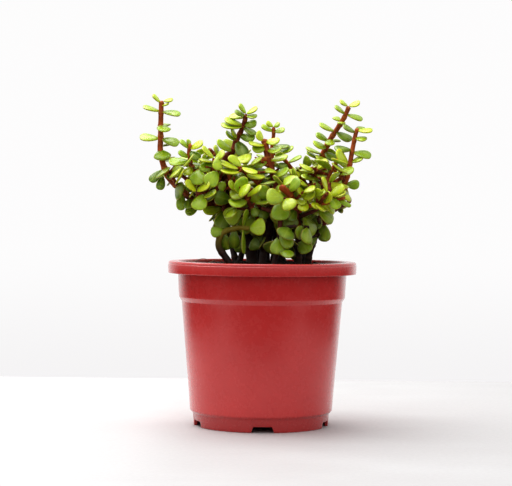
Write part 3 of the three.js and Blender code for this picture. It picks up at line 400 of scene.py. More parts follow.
# A polyline of (radius, height, fillet) with each corner swept as an arc of that fillet, and rows
# no further apart than rowGap.
def rounded(corners, steps=5, rowGap=6.0):
    places = [np.array(corners[0][:2], float)]
    for before, here, after in zip(corners, corners[1:], corners[2:]):
        corner = np.array(here[:2], float)
        toBefore, toAfter = np.array(before[:2]) - corner, np.array(after[:2]) - corner
        backward, forward = np.linalg.norm(toBefore), np.linalg.norm(toAfter)
        toBefore, toAfter = toBefore / backward, toAfter / forward
        half = 0.5 * math.acos(np.clip(toBefore @ toAfter, -1, 1))
        reach = min(here[2] / math.tan(half), 0.45 * min(backward, forward))
        if reach < 0.02:
            places.append(corner)
            continue
        across = (toBefore + toAfter) / np.linalg.norm(toBefore + toAfter)
        centre = corner + across * reach / math.cos(half)
        start, end = corner + toBefore * reach - centre, corner + toAfter * reach - centre
        sweep = math.pi - 2 * half
        share = np.linspace(0, 1, steps)[:, None]
        arc = (np.sin((1 - share) * sweep) * start + np.sin(share * sweep) * end) / math.sin(sweep)
        places.extend(centre + arc)
    places.append(np.array(corners[-1][:2], float))
    places = np.array(places)
    run = np.concatenate([[0], np.cumsum(np.linalg.norm(np.diff(places, axis=0), axis=1))])
    extra = [np.linspace(a, b, int(math.ceil((b - a) / rowGap)) + 1)[:-1]
             for a, b in zip(run, run[1:])]
    stops = np.concatenate([*extra, run[-1:]])
    return np.stack([np.interp(stops, run, places[:, k]) for k in (0, 1)], axis=1)


def outerProfile():
    form = potForm
    rimTop, rimRadius = form["rimTop"], form["rimRadius"]
    skirtFoot, flangeUnder = rimTop - form["rimDrop"], rimTop - 2.4
    chamferFoot = form["collarHeight"] - form["chamferDrop"]
    return rounded([
        (0, form["floorUnder"], 0), (form["footInner"] - 0.4, form["floorUnder"], 0.8),
        (form["footInner"], 0, 0.5), (form["footBottom"] - 0.2, 0, 0.8),
        (form["footTop"], form["footHeight"] - 2.2, 0.5),
        (form["wallFoot"], form["footHeight"], 0.9),
        (form["wallTop"], chamferFoot, 0.8), (form["collarFoot"], form["collarHeight"], 1.2),
        (form["collarTop"], flangeUnder, 1.0), (rimRadius - 1.8, flangeUnder, 0.8),
        (rimRadius - 1.4, skirtFoot, 0.3), (rimRadius, skirtFoot, 0.5),
        (rimRadius - 0.05, rimTop - 2.6, 0.3), (rimRadius - 0.5, rimTop - 2.2, 0.25),
        (rimRadius - 0.25, rimTop - 1.6, 0.4), (rimRadius - 0.9, rimTop - 0.15, 1.0),
        (rimRadius - 2.4, rimTop, 1.2), (rimRadius - 4.6, rimTop - 0.25, 1.5),
        (form["rimInner"] + 0.2, rimTop, 0.7), (form["rimInner"] - 0.9, rimTop - 1.4, 1.0),
    ])


def innerProfile():
    form = potForm
    chamferFoot = form["collarHeight"] - form["chamferDrop"]
    return rounded([
        (form["rimInner"] - 0.95, form["rimTop"] - 1.8, 0),
        (form["collarFoot"] - form["wall"], form["collarHeight"], 1.5),
        (form["wallTop"] - form["wall"], chamferFoot, 1.0),
        (form["wallFoot"] - form["wall"] - 0.6, form["footHeight"] - 3, 2.0),
        (form["footInner"], form["floorOver"], 1.5), (0, form["floorOver"], 0),
    ])


# How far the foot's lowest edge is lifted at each angle: a trapezium over each notch.
def notchLift(angle):
    form = notchForm
    step = 2 * math.pi / form["count"]
    first = math.radians(form["turn"] - 90)
    aside = (angle - first + step / 2) % step - step / 2
    run = np.abs(aside) * potForm["footBottom"]
    slope = (form["bottom"] / 2 - run) / (form["bottom"] - form["top"]) * 2
    return form["height"] * np.clip(slope, 0, 1)


# The columns' angles: even ones, and one at each corner of each notch.
def potAngles():
    form = notchForm
    edges = np.array([-form["bottom"], -form["top"], form["top"], form["bottom"]]) / 2
    centres = np.radians(form["turn"] - 90 + np.arange(form["count"]) * 360 / form["count"])
    corners = (centres[:, None] + edges / potForm["footBottom"]).ravel() % (2 * math.pi)
    return np.unique(np.concatenate([evenAngles(potForm["columns"]), corners]))


# The profile turned about the axis. Rows under the foot's step are squeezed up over each notch,
# and the wall is a little oval and rippled, never further out than the true radius.
def potPiece(material):
    angle = potAngles()
    outer, inner = outerProfile(), innerProfile()
    profile = np.concatenate([outer, inner])
    radius, height = profile[:, 0, None], profile[:, 1, None]
    ringMiddle = (potForm["footInner"] + potForm["footBottom"]) / 2
    limit = np.where(radius > ringMiddle, potForm["footHeight"] - 2.4, potForm["floorUnder"] - 0.1)
    isOuter = (np.arange(len(profile)) < len(outer))[:, None]
    squeeze = np.where(isOuter, np.clip(1 - height / limit, 0, 1), 0)
    z = height + notchLift(angle) * squeeze
    wave = unevenness(angle * 40, height + 0 * angle, 46, 2, 3)
    free = np.clip((height - 14) / 12, 0, 1) * np.clip((126 - height) / 4, 0, 1)
    oval = potForm["oval"] * (1 + np.cos(2 * angle + 0.6))
    r = radius * (1 - oval) - potForm["ripple"] * (1 + wave) * free
    ring = np.stack([r * np.cos(angle), r * np.sin(angle), z], axis=-1)[1:-1]
    places = closedRings([0, 0, profile[0, 1]], ring, [0, 0, profile[-1, 1]])
    piece = ringPiece("nursery_pot", [ringBatch(places, len(ring), len(angle))], material)
    piece.data.set_sharp_from_angle(angle=math.radians(40))
    drill(piece)
    return settle(piece, "pot_plastic", "pot")


# Cuts the drain holes: short cylinders through the floor, one in the middle.
def drill(piece):
    form = drainForm
    turn = evenAngles(form["count"]) + math.pi / form["count"]
    ringed = form["ring"] * np.stack([np.cos(turn), np.sin(turn)], axis=-1)
    middles = np.concatenate([[[0, 0]], ringed])
    around = evenAngles(form["columns"])
    low, high = potForm["floorUnder"] - 1, potForm["floorOver"] + 1
    x, y = form["radius"] * np.cos(around), form["radius"] * np.sin(around)
    rings = np.array([np.stack([x, y, 0 * around + z], axis=-1) for z in (low, high)])
    shift = np.concatenate([middles, np.zeros((len(middles), 1))], axis=1)
    places = closedRings([0, 0, low], rings, [0, 0, high]) + shift[:, None]
    cutter = ringPiece("drill", [ringBatch(places, 2, len(around))], piece.data.materials[0])
    cut = piece.modifiers.new("drain holes", "BOOLEAN")
    cut.operation, cut.solver, cut.object = "DIFFERENCE", "EXACT", cutter
    bpy.context.view_layer.update()
    solved = piece.evaluated_get(bpy.context.evaluated_depsgraph_get())
    mesh = bpy.data.meshes.new_from_object(solved)
    piece.modifiers.clear()
    piece.data = mesh
    bpy.data.objects.remove(cutter)


soilForm = {
    "edge": 124.4, "rise": 5, "radius": 65.6, "rowGap": 1.3, "columns": 220, "rough": 0.9,
    "crumbs": 620, "crumbSize": (0.5, 1.9), "crumbReach": 64, "crumbShape": (1.0, 0.75, 0.5),
    "grit": 0.94,
}


# The soil's mound: a rise that falls off with the square of the distance, and a few slow waves.
def soilTop(x, y):
    far = np.minimum(1, np.hypot(x, y) / potForm["rimInner"])
    lumps = np.sin(x * 0.31 + 1.3) * np.sin(y * 0.27 + 0.4) + 0.6 * np.sin(x * 0.13 - y * 0.19)
    return soilForm["edge"] + soilForm["rise"] * (1 - far * far) + 0.7 * lumps * (1 - far**6)


# The mound roughened by two uneven fields, one of them folded into ridges.
def soilRelief(x, y):
    fine = unevenness(x, y, 9, 3, 6) + 0.5 * np.abs(unevenness(x, y, 5, 8, 5))
    return soilTop(x, y) + soilForm["rough"] * fine


# A turned body that fills the pot, with its top lifted to the lumpy mound.
def soilPiece(material):
    form = soilForm
    radius = np.arange(form["radius"], 1.0, -form["rowGap"])
    chamferFoot = potForm["collarHeight"] - potForm["chamferDrop"]
    side = np.array([
        (potForm["footInner"] + 0.2, potForm["floorOver"] + 0.3),
        (potForm["wallTop"] - potForm["wall"] - 0.3, chamferFoot - 0.1),
        (potForm["collarFoot"] - potForm["wall"] - 0.3, potForm["collarHeight"] + 0.2),
    ])
    angle = evenAngles(form["columns"])
    x, y = side[:, :1] * np.cos(angle), side[:, :1] * np.sin(angle)
    body = np.stack([x, y, side[:, 1:] + 0 * angle], axis=-1)
    x, y = radius[:, None] * np.cos(angle), radius[:, None] * np.sin(angle)
    top = np.stack([x, y, soilRelief(x, y)], axis=-1)
    ring = np.concatenate([body, top])
    places = closedRings([0, 0, side[0, 1]], ring, [0, 0, soilRelief(0.0, 0.0)])
    piece = ringPiece("soil_bed", [ringBatch(places, len(ring), len(angle))], material)
    return settle(piece, "potting_soil", "soil")


# Crumbs of bark, peat and grit: small lumpy spheres, each squashed, turned and half sunk.
def crumbPiece(material):
    count, rows, columns = soilForm["crumbs"], 4, 6
    tilt = np.linspace(0, math.pi, rows + 2)[1:-1, None]
    around = evenAngles(columns)
    x, y = np.sin(tilt) * np.cos(around), np.sin(tilt) * np.sin(around)
    sphere = np.stack([x, y, np.cos(tilt) + 0 * around], axis=-1)
    sphere = closedRings([0, 0, 1], sphere, [0, 0, -1])
    lumpy = sphere * (1 + rng.uniform(-0.22, 0.22, (count, sphere.shape[1], 1)))
    size = rng.uniform(*soilForm["crumbSize"], (count, 1)) * rng.uniform(0.6, 1.0, (count, 1))
    lumpy *= (size * np.array(soilForm["crumbShape"]) * rng.uniform(0.8, 1.3, (count, 3)))[:, None]
    spin, lean = rng.uniform(0, 2 * math.pi, count), rng.normal(0, 0.5, count)
    lumpy = turnedAbout(lumpy, np.array([1.0, 0, 0]), lean)
    lumpy = turnedAbout(lumpy, upward, spin)
    far = soilForm["crumbReach"] * np.sqrt(rng.uniform(0, 1, count))
    way = rng.uniform(0, 2 * math.pi, count)
    x, y = far * np.cos(way), far * np.sin(way)
    lumpy += np.stack([x, y, soilRelief(x, y) + 0.12 * size[:, 0]], axis=-1)[:, None]
    marks = np.zeros((count, sphere.shape[1], 4))
    marks[..., 0] = rng.uniform(0, 1, (count, 1))
    marks[..., 1] = rng.uniform(0, 1, (count, 1)) > soilForm["grit"]
    piece = ringPiece("soil_crumbs", [ringBatch(lumpy, rows, columns, crumb=marks)], material)
    return settle(piece, "potting_soil")


# "slim" is a leaf's width as a share of its length, and the gaps are what it keeps from the others.
leafForm = {
    "slim": 0.9, "rootBite": 0.8, "thickness": 2.1, "gap": 2.4, "stemGap": 1.2, "rootReach": 4,
    "overSoil": 2, "withinRim": 60, "rows": 8, "columns": 8, "spread": 1.12, "placedSpread": 1.03,
    "stretch": 1.02, "cup": 0.1, "curl": 0.25,
}
# Leaves open away from the heart of the bush, less so near its top, and the frame's rule keeps its
# own out of the core.
bushForm = {
    "heart": (0, 0, 160), "coreMiddle": (0, 5, 170), "coreSize": (46, 38, 30), "open": (205, 245),
}
twigForm = {"radius": (1.7, 1.2), "pairs": (0, 5, 13), "leaf": (14, 17), "dark": 0.35}
stalkForm = {"radius": (1, 0.8), "least": 3}
# Degrees, but for "first", which is how far under the tip the first pair stands, the swings of
# length and width, which are shares, and "grownAt", the first pair whose leaves are full grown.
pairForm = {
    "first": 1.5, "tip": 40, "next": 24, "drop": 11, "least": -55, "turnSwing": 14, "riseSwing": 12,
    "rollSwing": 30, "lengthSwing": 0.1, "widthSwing": 0.12, "grownAt": 3,
}
bends = ((0, 0), (14, 8), (-14, -10), (26, 18), (-26, 22), (10, 34), (-12, -32), (40, 30))
lastFullBend, bentSize = 4, 0.85


# An even draw from 0 to 1 that depends on its seed alone.
def vary(seed):
    wave = math.sin(seed * 127.1 + 311.7) * 43758.5453
    return wave - math.floor(wave)


# An even draw between minus and plus a size.
def swing(seed, size):
    return (vary(seed) - 0.5) * 2 * size


def unit(vector):
    return vector / np.linalg.norm(vector)


# A smooth curve through a route's points: each stretch is the cubic whose end slopes are half the
# chord between its neighbours.
def routePoint(route, share):
    stops = np.concatenate([[2 * route[0] - route[1]], route, [2 * route[-1] - route[-2]]])
    spot = np.clip(np.atleast_1d(share), 0, 1) * (len(route) - 1)
    index = np.minimum(spot.astype(int), len(route) - 2)
    w = (spot - index)[:, None]
    p0, p1, p2, p3 = (stops[index + k] for k in range(4))
    s1, s2 = (p2 - p0) / 2, (p3 - p1) / 2
    return p1 + w * s1 + w**2 * (3 * (p2 - p1) - 2 * s1 - s2) + w**3 * (2 * (p1 - p2) + s1 + s2)


# A shoot with its route as points, and the length of its curve run up over small steps.
def withCurve(shoot):
    made = {"pairs": (), **shoot, "route": np.array(shoot["route"], float)}
    steps = np.diff(routePoint(made["route"], np.linspace(0, 1, 201)), axis=0)
    made["run"] = np.concatenate([[0], np.cumsum(np.linalg.norm(steps, axis=1))])
    made["length"] = made["run"][-1]
    return made


def shareAt(shoot, at):
    return np.interp(np.atleast_1d(at) * shoot["length"], shoot["run"], np.linspace(0, 1, 201))


def pointAt(shoot, at):
    return routePoint(shoot["route"], shareAt(shoot, at))


def tangentAt(shoot, at):
    share = shareAt(shoot, at)
    ahead = routePoint(shoot["route"], share + 0.0001) - routePoint(shoot["route"], share - 0.0001)
    return ahead / np.linalg.norm(ahead, axis=1)[:, None]


# A straight twig: it leaves its shoot a share of the way up, turned about the vertical and rising.
def twigFrom(shoot, at, turn, rise, length):
    start = pointAt(shoot, at)[0]
    turned, risen = math.radians(turn), math.radians(rise)
    flat = math.cos(risen)
    reach = np.array([flat * math.cos(turned), flat * math.sin(turned), math.sin(risen)])
    return withCurve(dict(
        twigForm, node=shoot["node"], route=[start, start + reach * length], turn=turn + 45,
        pairs=fewer(twigForm["pairs"], length), sun=shoot.get("sun", 0)))


# The pairs that a short twig has room for.
def fewer(pairs, length):
    return [distance for distance in pairs if distance < 0.8 * length]


# A leaf by its root, its length along, its width across and the way its upper face looks.
def leafFrom(shoot, root, along, face, length, width, **looks):
    upper = unit(face - (face @ along) * along)
    return dict(
        node=shoot["node"], root=root, along=along, face=upper, across=np.cross(along, upper),
        length=length, width=width, **looks)


def radiusAt(shoot, at):
    return shoot["radius"][0] + (shoot["radius"][1] - shoot["radius"][0]) * at


# How far from the middle of its stem a leaf begins, just under the surface.
def rootedAt(shoot, at):
    return max(0, 0.8 * radiusAt(shoot, at) - leafForm["rootBite"])


# The point of a shoot nearest to another point, and how far along the shoot it lies.
def nearestOn(shoot, point):
    samples = pointAt(shoot, np.linspace(0, 1, 61))
    k = np.argmin(np.linalg.norm(samples - point, axis=1))
    return samples[k], k / 60


# The thin straight stalks of the placed leaves that stand off their shoots.
def stalksOf(shoots):
    made = []
    for name, start, *_ in placedLeaves:
        spot = nearestOn(shoots[name], start)[0]
        if np.linalg.norm(spot - start) >= stalkForm["least"]:
            made.append(withCurve(dict(stalkForm, node=shoots[name]["node"], route=[spot, start])))
    return made


# Listed leaves, each placed on its shoot or on its stalk. Up to 0.5 its tone makes it a lighter
# green, and from 0.4 on yellower.
def handPlacedLeaves(shoots, plan):
    leaves = []
    for name, start, tip, width, face, tone in plan:
        shoot, start, tip = shoots[name], np.array(start, float), np.array(tip, float)
        spot, at = nearestOn(shoot, start)
        onShoot = np.linalg.norm(spot - start) < stalkForm["least"]
        root = spot if onShoot else start
        root = root + unit(tip - root) * (rootedAt(shoot, at) if onShoot else -leafForm["rootBite"])
        reach = tip - root
        leaves.append(leafFrom(
            shoot, root, unit(reach), np.array(face, float), np.linalg.norm(reach), width,
            young=max(0, tone - 0.4) / 0.6, chance=min(1, tone / 0.5),
            spread=leafForm["placedSpread"]))
    return leaves


# One leaf of a pair, seen from the stem: how far round it stands, how far it rises and how far it
# rolls about its own length. Its face looks up and outward, away from the heart of the bush.
def leafOnStem(shoot, at, turn, rise, roll, length, width, **looks):
    root, tangent = pointAt(shoot, at)[0], tangentAt(shoot, at)[0]
    side = unit(np.cross([0, 1, 0], tangent))
    outward = side * math.cos(turn) + np.cross(tangent, side) * math.sin(turn)
    along = outward * math.cos(rise) + tangent * math.sin(rise)
    face = tangent * math.cos(rise) - outward * math.sin(rise)
    low, high = bushForm["open"]
    free = np.clip((root[2] - low) / (high - low), 0, 1)
    free = free * free * (3 - 2 * free)
    opening = unit(root - bushForm["heart"])
    along = unit(along - 0.6 * (1 - free) * (along @ opening) * opening)
    root = root + along * rootedAt(shoot, at)
    face = face + 0.5 * upward + (1.3 - 0.7 * free) * opening
    face = turnedAbout(face[None, None], along, np.array([roll]))[0, 0]
    return leafFrom(shoot, root, along, face, length, width, **looks)


# An egg-shaped outline with its narrow end at the root (angle 0) and the tip at half a turn.
def leafOutline(angle):
    far = ((1 - np.cos(angle)) / 2) ** 0.7
    return far, np.sin(angle) * (0.76 + 0.36 * far)


# Points on a blade: a share of its length from the root, and of half its width to the side.
def onLeaf(leaf, far, out):
    far, out = np.atleast_1d(far)[:, None], np.atleast_1d(out)[:, None]
    middle = leaf["root"] + far * leaf["length"] * leaf["along"]
    return middle + out * leaf["width"] / 2 * leaf["across"]


# Points spread over a blade, to feel whether another blade or stem runs through it. Those near its
# own root feel nothing, and are no numbers.
def feelers(leaf):
    far, out = leafOutline(np.arange(8) / 8 * 2 * math.pi + 0.001)
    inner = 0.5 + (far - 0.5) * 0.5
    far, out = np.concatenate([inner, far, [0.5]]), np.concatenate([out * 0.5, out, [0]])
    points = onLeaf(leaf, far, out)
    points[np.linalg.norm(points - leaf["root"], axis=1) <= leafForm["rootReach"]] = np.nan
    return points


def withFeelers(leaves, **more):
    return [dict(leaf, points=feelers(leaf), **more) for leaf in leaves]


# Whether any of these points lies in the flat egg of space that a leaf fills: "leaf" may hold the
# values of one leaf or of many.
def pierces(points, leaf):
    reach = points - leaf["root"][..., None, :]
    part = {key: (reach * leaf[key][..., None, :]).sum(axis=-1)
            for key in ("along", "face", "across")}
    far = part["along"] / np.asarray(leaf["length"])[..., None]
    out = part["across"] / (np.asarray(leaf["width"])[..., None] / 2 + 0.5)
    inside = (np.abs(part["face"]) < leafForm["gap"]) & (out**2 + (2 * far - 1.1) ** 2 < 1.1)
    return bool((inside & (far >= 0.1) & (far <= 1.1)).any())


# Points every few millimetres along all the shoots, and the shoots' radii there.
def stemSamples(shoots):
    points, radii = [], []
    for shoot in shoots:
        steps = int(math.floor(shoot["length"] / 3 + 0.5))
        share = np.linspace(0, 1, steps + 1)
        points.append(pointAt(shoot, share))
        radii.append(radiusAt(shoot, share))
    return np.concatenate(points), np.concatenate(radii)


# A leaf is clear where its feelers keep off the soil, the rim, the stems and the other leaves, and
# none of theirs runs through it.
def isClear(leaf, others, stems, mayFillCore):
    middle = onLeaf(leaf, 0.5, 0)[0]
    inCore = np.linalg.norm((middle - bushForm["coreMiddle"]) / bushForm["coreSize"]) < 1
    if inCore and not mayFillCore:
        return False
    points = feelers(leaf)
    x, y, z = points.T
    if (z < soilTop(x, y) + leafForm["overSoil"]).any():
        return False
    low = potForm["rimTop"] + leafForm["overSoil"]
    if ((z < low) & (np.hypot(x, y) > leafForm["withinRim"])).any():
        return False
    stemPoints, stemRadii = stems
    near = np.linalg.norm(points[:, None] - stemPoints[None], axis=2)
    if (near < stemRadii + leafForm["stemGap"]).any():
        return False
    away = np.linalg.norm(others["root"] - leaf["root"], axis=1)
    close = away <= others["length"] + leaf["length"]
    near = {key: values[close] for key, values in others.items()}
    return not (pierces(points, near) or pierces(near["points"], leaf))


# The tries at one leaf of a pair, each bent further than the one before. The pairs stand crossed,
# droop and grow with their number from the tip, and swing by seeded draws.
def leafTries(shoot, k, distance, half, seed):
    form = pairForm
    at = 1 - min(0.98, (distance + form["first"]) / shoot["length"])
    turn = shoot["turn"] + 90 * k + 180 * half + swing(seed, form["turnSwing"])
    level = form["tip"] if k == 0 else form["next"] - form["drop"] * k
    rise = max(form["least"], level + swing(seed + 1, form["riseSwing"]))
    grown = min(1, k / form["grownAt"])
    length = (shoot["leaf"][0] + (shoot["leaf"][1] - shoot["leaf"][0]) * grown)
    length *= 1 + swing(seed + 0.5, form["lengthSwing"])
    slim = shoot.get("slim", leafForm["slim"])
    width = length * slim * (1 + swing(seed + 1.5, form["widthSwing"]))
    roll = math.radians(swing(seed + 2.5, form["rollSwing"]))
    # Painted sunlight and shade: between 140 and 195 mm, the higher a leaf stands the yellower and
    # lighter its tone, and the lower the darker green, on top of its age; a shoot's "sun" adds more
    # painted sunlight.
    high = np.clip((pointAt(shoot, at)[0, 2] - 140) / 55, 0, 1)
    young = (0.4 * (1 - grown) + 0.6 * vary(seed + 3.5)) * high + shoot.get("sun", 0)
    chance = vary(seed + 4.5) * (0.25 + 0.75 * high)
    for n, (aside, lift) in enumerate(bends):
        size = bentSize if n > lastFullBend else 1
        yield leafOnStem(shoot, at, math.radians(turn + aside), math.radians(rise + lift), roll,
                         length * size, width * size, young=young, chance=chance,
                         spread=leafForm["spread"])


# Each pair of the rule, bent a little further until it is clear, or else left out.
def growPairs(shoots, leaves, stems, firstNumber=0, mayFillCore=False):
    keys = ("root", "along", "face", "across", "length", "width", "points")
    others = {key: np.array([leaf[key] for leaf in leaves]) for key in keys}
    for number, shoot in enumerate(shoots, firstNumber):
        for k, distance in enumerate(shoot["pairs"]):
            if distance < shoot.get("byHand", 0):
                continue
            for half in (0, 1):
                tries = leafTries(shoot, k, distance, half, number * 61 + k * 4 + half * 2)
                clear = (leaf for leaf in tries if isClear(leaf, others, stems, mayFillCore))
                leaf = next(clear, None)
                if leaf:
                    leaves.append(dict(leaf, points=feelers(leaf)))
                    for key in keys:
                        added = np.asarray(leaves[-1][key])[None]
                        others[key] = np.concatenate([others[key], added])


stemForm = {
    "columns": 12, "rowGap": 1.4, "jointSwell": 0.2, "jointWidth": 1.1, "scarGap": 13,
    "crook": 0.05, "brown": {"top": 200, "depth": 60, "share": 0.75},
    "dark": {"top": 168, "depth": 22, "share": 0.3}, "olive": {"foot": 138, "depth": 14},
    "thick": {"from": 1.5, "depth": 2.6, "share": 0.4},
}


# A tube along a curve: rings of points about it, as wide as told, closed at both ends.
def tubeAlong(point, tangent, lean, wide, around):
    side = np.cross(lean, tangent)
    side /= np.linalg.norm(side, axis=1)[:, None]
    away = np.cross(tangent, side)
    ring = point[:, None] + (wide * np.cos(around))[..., None] * side[:, None]
    ring = ring + (wide * np.sin(around))[..., None] * away[:, None]
    return closedRings(point[0], ring, point[-1])


# How dark a stem is at each of its points: the thicker and the lower, the older and browner, and
# below 168 mm darker still.
def stemAge(height, radius):
    brown, dark, thick = stemForm["brown"], stemForm["dark"], stemForm["thick"]
    age = np.clip((brown["top"] - height) / brown["depth"], 0, 1) * brown["share"]
    age = age + np.clip((dark["top"] - height) / dark["depth"], 0, 1) * dark["share"]
    return np.clip((radius - thick["from"]) / thick["depth"], 0, 1) * thick["share"] + age


# A stem swells in a bell curve at each leaf joint, and at the scars of old joints under the last
# pair. It is rounded off at both ends and a little crooked in section.
def stemBatch(shoot):
    form = stemForm
    rows = max(8, int(shoot["length"] / form["rowGap"]))
    run = np.linspace(0, shoot["length"], rows)
    at = run / shoot["length"]
    point, tangent = pointAt(shoot, at), tangentAt(shoot, at)
    pairs = shoot["length"] - np.array(shoot["pairs"], float) - pairForm["first"]
    bare = pairs.min() if len(pairs) else shoot["length"]
    joints = np.concatenate([pairs, np.arange(bare - form["scarGap"], 3, -form["scarGap"]), [-9]])
    joint = np.exp(-(((run[:, None] - joints) / form["jointWidth"]) ** 2)).max(axis=1)
    radius = radiusAt(shoot, shareAt(shoot, at))
    ends = np.sqrt(np.clip(np.minimum(run, shoot["length"] - run) / (0.6 * radius), 0.08, 1))
    around = evenAngles(form["columns"])
    bumpy = 1 + form["crook"] * np.sin(3 * around + run[:, None] * 0.23 + shoot["length"])
    swell = 0.96 + form["jointSwell"] * joint
    wide = (radius * shoot.get("stout", 1) * swell * ends)[:, None] * bumpy
    places = tubeAlong(point, tangent, (0, 1, 0), wide, around)
    age = np.clip(stemAge(point[:, 2], radius) + shoot.get("dark", 0), 0, 1)
    olive = np.clip((point[:, 2] - form["olive"]["foot"]) / form["olive"]["depth"], 0, 1)
    marks = np.stack([age, joint, shoot.get("olive", 0) * olive, 0 * age + 1], -1)
    marks = np.concatenate([marks[:1], np.repeat(marks, len(around), axis=0), marks[-1:]])[None]
    return ringBatch(places, rows, len(around), stem=marks)


# Leaves as flattened rings across the blade from root to tip: the outline gives the half width,
# the thickness swells from the rim inwards, the edges cup upwards and the tip curls.
def leafBatch(leaves):
    form = leafForm
    rows, columns = form["rows"], form["columns"]
    down = np.linspace(0, math.pi, rows + 2)[1:-1, None]
    around = evenAngles(columns)
    far, half = leafOutline(down)
    flat = np.sign(np.cos(around)) * np.abs(np.cos(around)) ** 0.55 + 0 * down
    raised = np.sin(around) * (0.8 + 0.2 * np.sin(around) ** 2) * np.sin(down) ** 0.5
    rim = withPoles(1 - (1 - np.abs(flat)) * np.sin(down) ** 0.5, 0.3, 1.0)
    far = withPoles(far + 0 * flat, 0.0, 1.0)
    out = withPoles(flat * half**0.85, 0.0, 0.0)
    raised = withPoles(raised, 0.0, 0.0)
    keys = ("root", "along", "across", "face", "length", "width", "spread", "young", "chance")
    of = {key: np.array([leaf[key] for leaf in leaves])[:, None] for key in keys}
    length, width, draw = of["length"] * form["stretch"], of["width"] * of["spread"], of["chance"]
    cup = form["cup"] * (0.4 + draw) * out**2 * width / 2
    curl = form["curl"] * (draw * 7 % 1 - 0.35) * np.clip(far - 0.3, 0, 1) ** 2 * length
    lift = raised * form["thickness"] / 2 * (0.75 + 0.25 * width / 13) + cup - curl
    places = of["root"] + (far * length)[..., None] * of["along"]
    places = places + (out * width / 2)[..., None] * of["across"]
    places = places + lift[..., None] * of["face"]
    one = np.ones_like(lift)
    leafMarks = np.stack([np.clip(of["young"], 0, 1) * one, draw * one, rim * one, one], -1)
    blade = np.stack([far * one, (0.5 + out / 2) * one, (0.5 + raised / 2) * one, one], -1)
    return ringBatch(places, rows, columns, leaf=leafMarks, blade=blade)


# A grid of values in the layout of a ring surface's points.
def withPoles(grid, first, last):
    return np.concatenate([[first], grid.ravel(), [last]])


# Short twigs that fill the bush: one every few millimetres of a stem, turned by a seeded draw, kept
# where it ends inside the upturned cone of the bush and clear of the other stems.
fillForm = {
    "every": 7, "between": (136, 205), "length": (8, 18), "rise": (5, 55), "radius": (1.2, 0.8),
    "apart": 3.6, "pairs": (0, 5, 11), "leaf": (12, 15.5), "slim": 1.0, "firstSeed": 7000,
    "foot": (-2, 4, 135), "half": (34, 34), "widening": 0.56,
}


# The value a share of the way between two limits.
def between(limits, share):
    return limits[0] + (limits[1] - limits[0]) * share


def fillTwigs(shoots, stems):
    form, made = fillForm, []
    points = stems[0]
    for number, shoot in enumerate(shoots):
        if shoot["node"] == "curled_twig":
            continue
        for k, run in enumerate(np.arange(6, shoot["length"] - 4, form["every"])):
            seed = form["firstSeed"] + number * 37 + k
            at = run / shoot["length"]
            if not form["between"][0] < pointAt(shoot, at)[0, 2] < form["between"][1]:
                continue
            length = between(form["length"], vary(seed))
            rise = between(form["rise"], vary(seed + 0.3))
            twig = twigFrom(shoot, at, 360 * vary(seed + 0.6), rise, length)
            twig.update(radius=form["radius"], leaf=form["leaf"], slim=form["slim"],
                        pairs=fewer(form["pairs"], length))
            end = twig["route"][-1]
            reach = end - form["foot"]
            half = np.array(form["half"]) + form["widening"] * reach[2]
            isInside = np.hypot(*(reach[:2] / half)) < 1
            if isInside and np.linalg.norm(points - end, axis=1).min() > form["apart"]:
                made.append(twig)
                points = np.concatenate([points, pointAt(twig, np.array([0.5, 1.0]))])
    return made


# The bush's outline seen from the front, as (x, z) along its underside and over its middle.
outlineForm = {
    "under": [(-90, 220), (-84, 194), (-72, 188), (-66, 172), (-48, 166), (-38, 149), (-33, 120),
              (38, 120), (42, 146), (52, 149), (56, 168), (67, 174), (70, 188), (78, 212),
              (90, 225)],
    "over": [(-70, 250), (-58, 228), (-38, 222), (-30, 250)],
}


# Whether the sides or the tip of a leaf reach past that outline.
def standsOut(leaf):
    x, _, z = onLeaf(leaf, np.array([0.6, 0.6, 1.0]), np.array([0.8, -0.8, 0])).T
    under, over = (np.interp(x, *zip(*outlineForm[key])) for key in ("under", "over"))
    return bool(((z < under) | (z > over + 1)).any())


# Whether a leaf, seen from the front, hides a placed one: most of the points along the other's
# middle are behind it, and lie in its outline as so far along and so far across it.
def hidesPlaced(leaf, middles):
    plane = np.stack([leaf["along"] * leaf["length"], leaf["across"] * leaf["width"] / 2], axis=1)
    reach = middles - leaf["root"]
    seen = reach[..., [0, 2]].reshape(-1, 2).T
    far, out = np.linalg.solve(plane[[0, 2]], seen).reshape(2, *reach.shape[:2])
    behind = reach[..., 1] > plane[1, 0] * far + plane[1, 1] * out
    hidden = (out**2 + (2 * far - 1) ** 2 < 1) & behind
    return bool((hidden.sum(axis=1) > 1).any())


# Leaves of the rule are left out where they stand outside the outline or hide a placed leaf.
def inView(leaves):
    placed = leaves[:len(placedLeaves)] + [leaf for leaf in leaves if leaf.get("added")]
    grown = [leaf for leaf in leaves[len(placedLeaves):] if not leaf.get("added")]
    middles = np.array([onLeaf(leaf, np.array([0.4, 0.6, 0.8]), np.zeros(3)) for leaf in placed])
    return placed + [leaf for leaf in grown
                     if not standsOut(leaf) and not hidesPlaced(leaf, middles)]


# Pairs half way between those of the rule.
def betweenPairs(shoot):
    pairs = np.array(shoot["pairs"], float)
    middles = (pairs[1:] + pairs[:-1]) / 2
    return list(middles[np.diff(pairs) > 6])


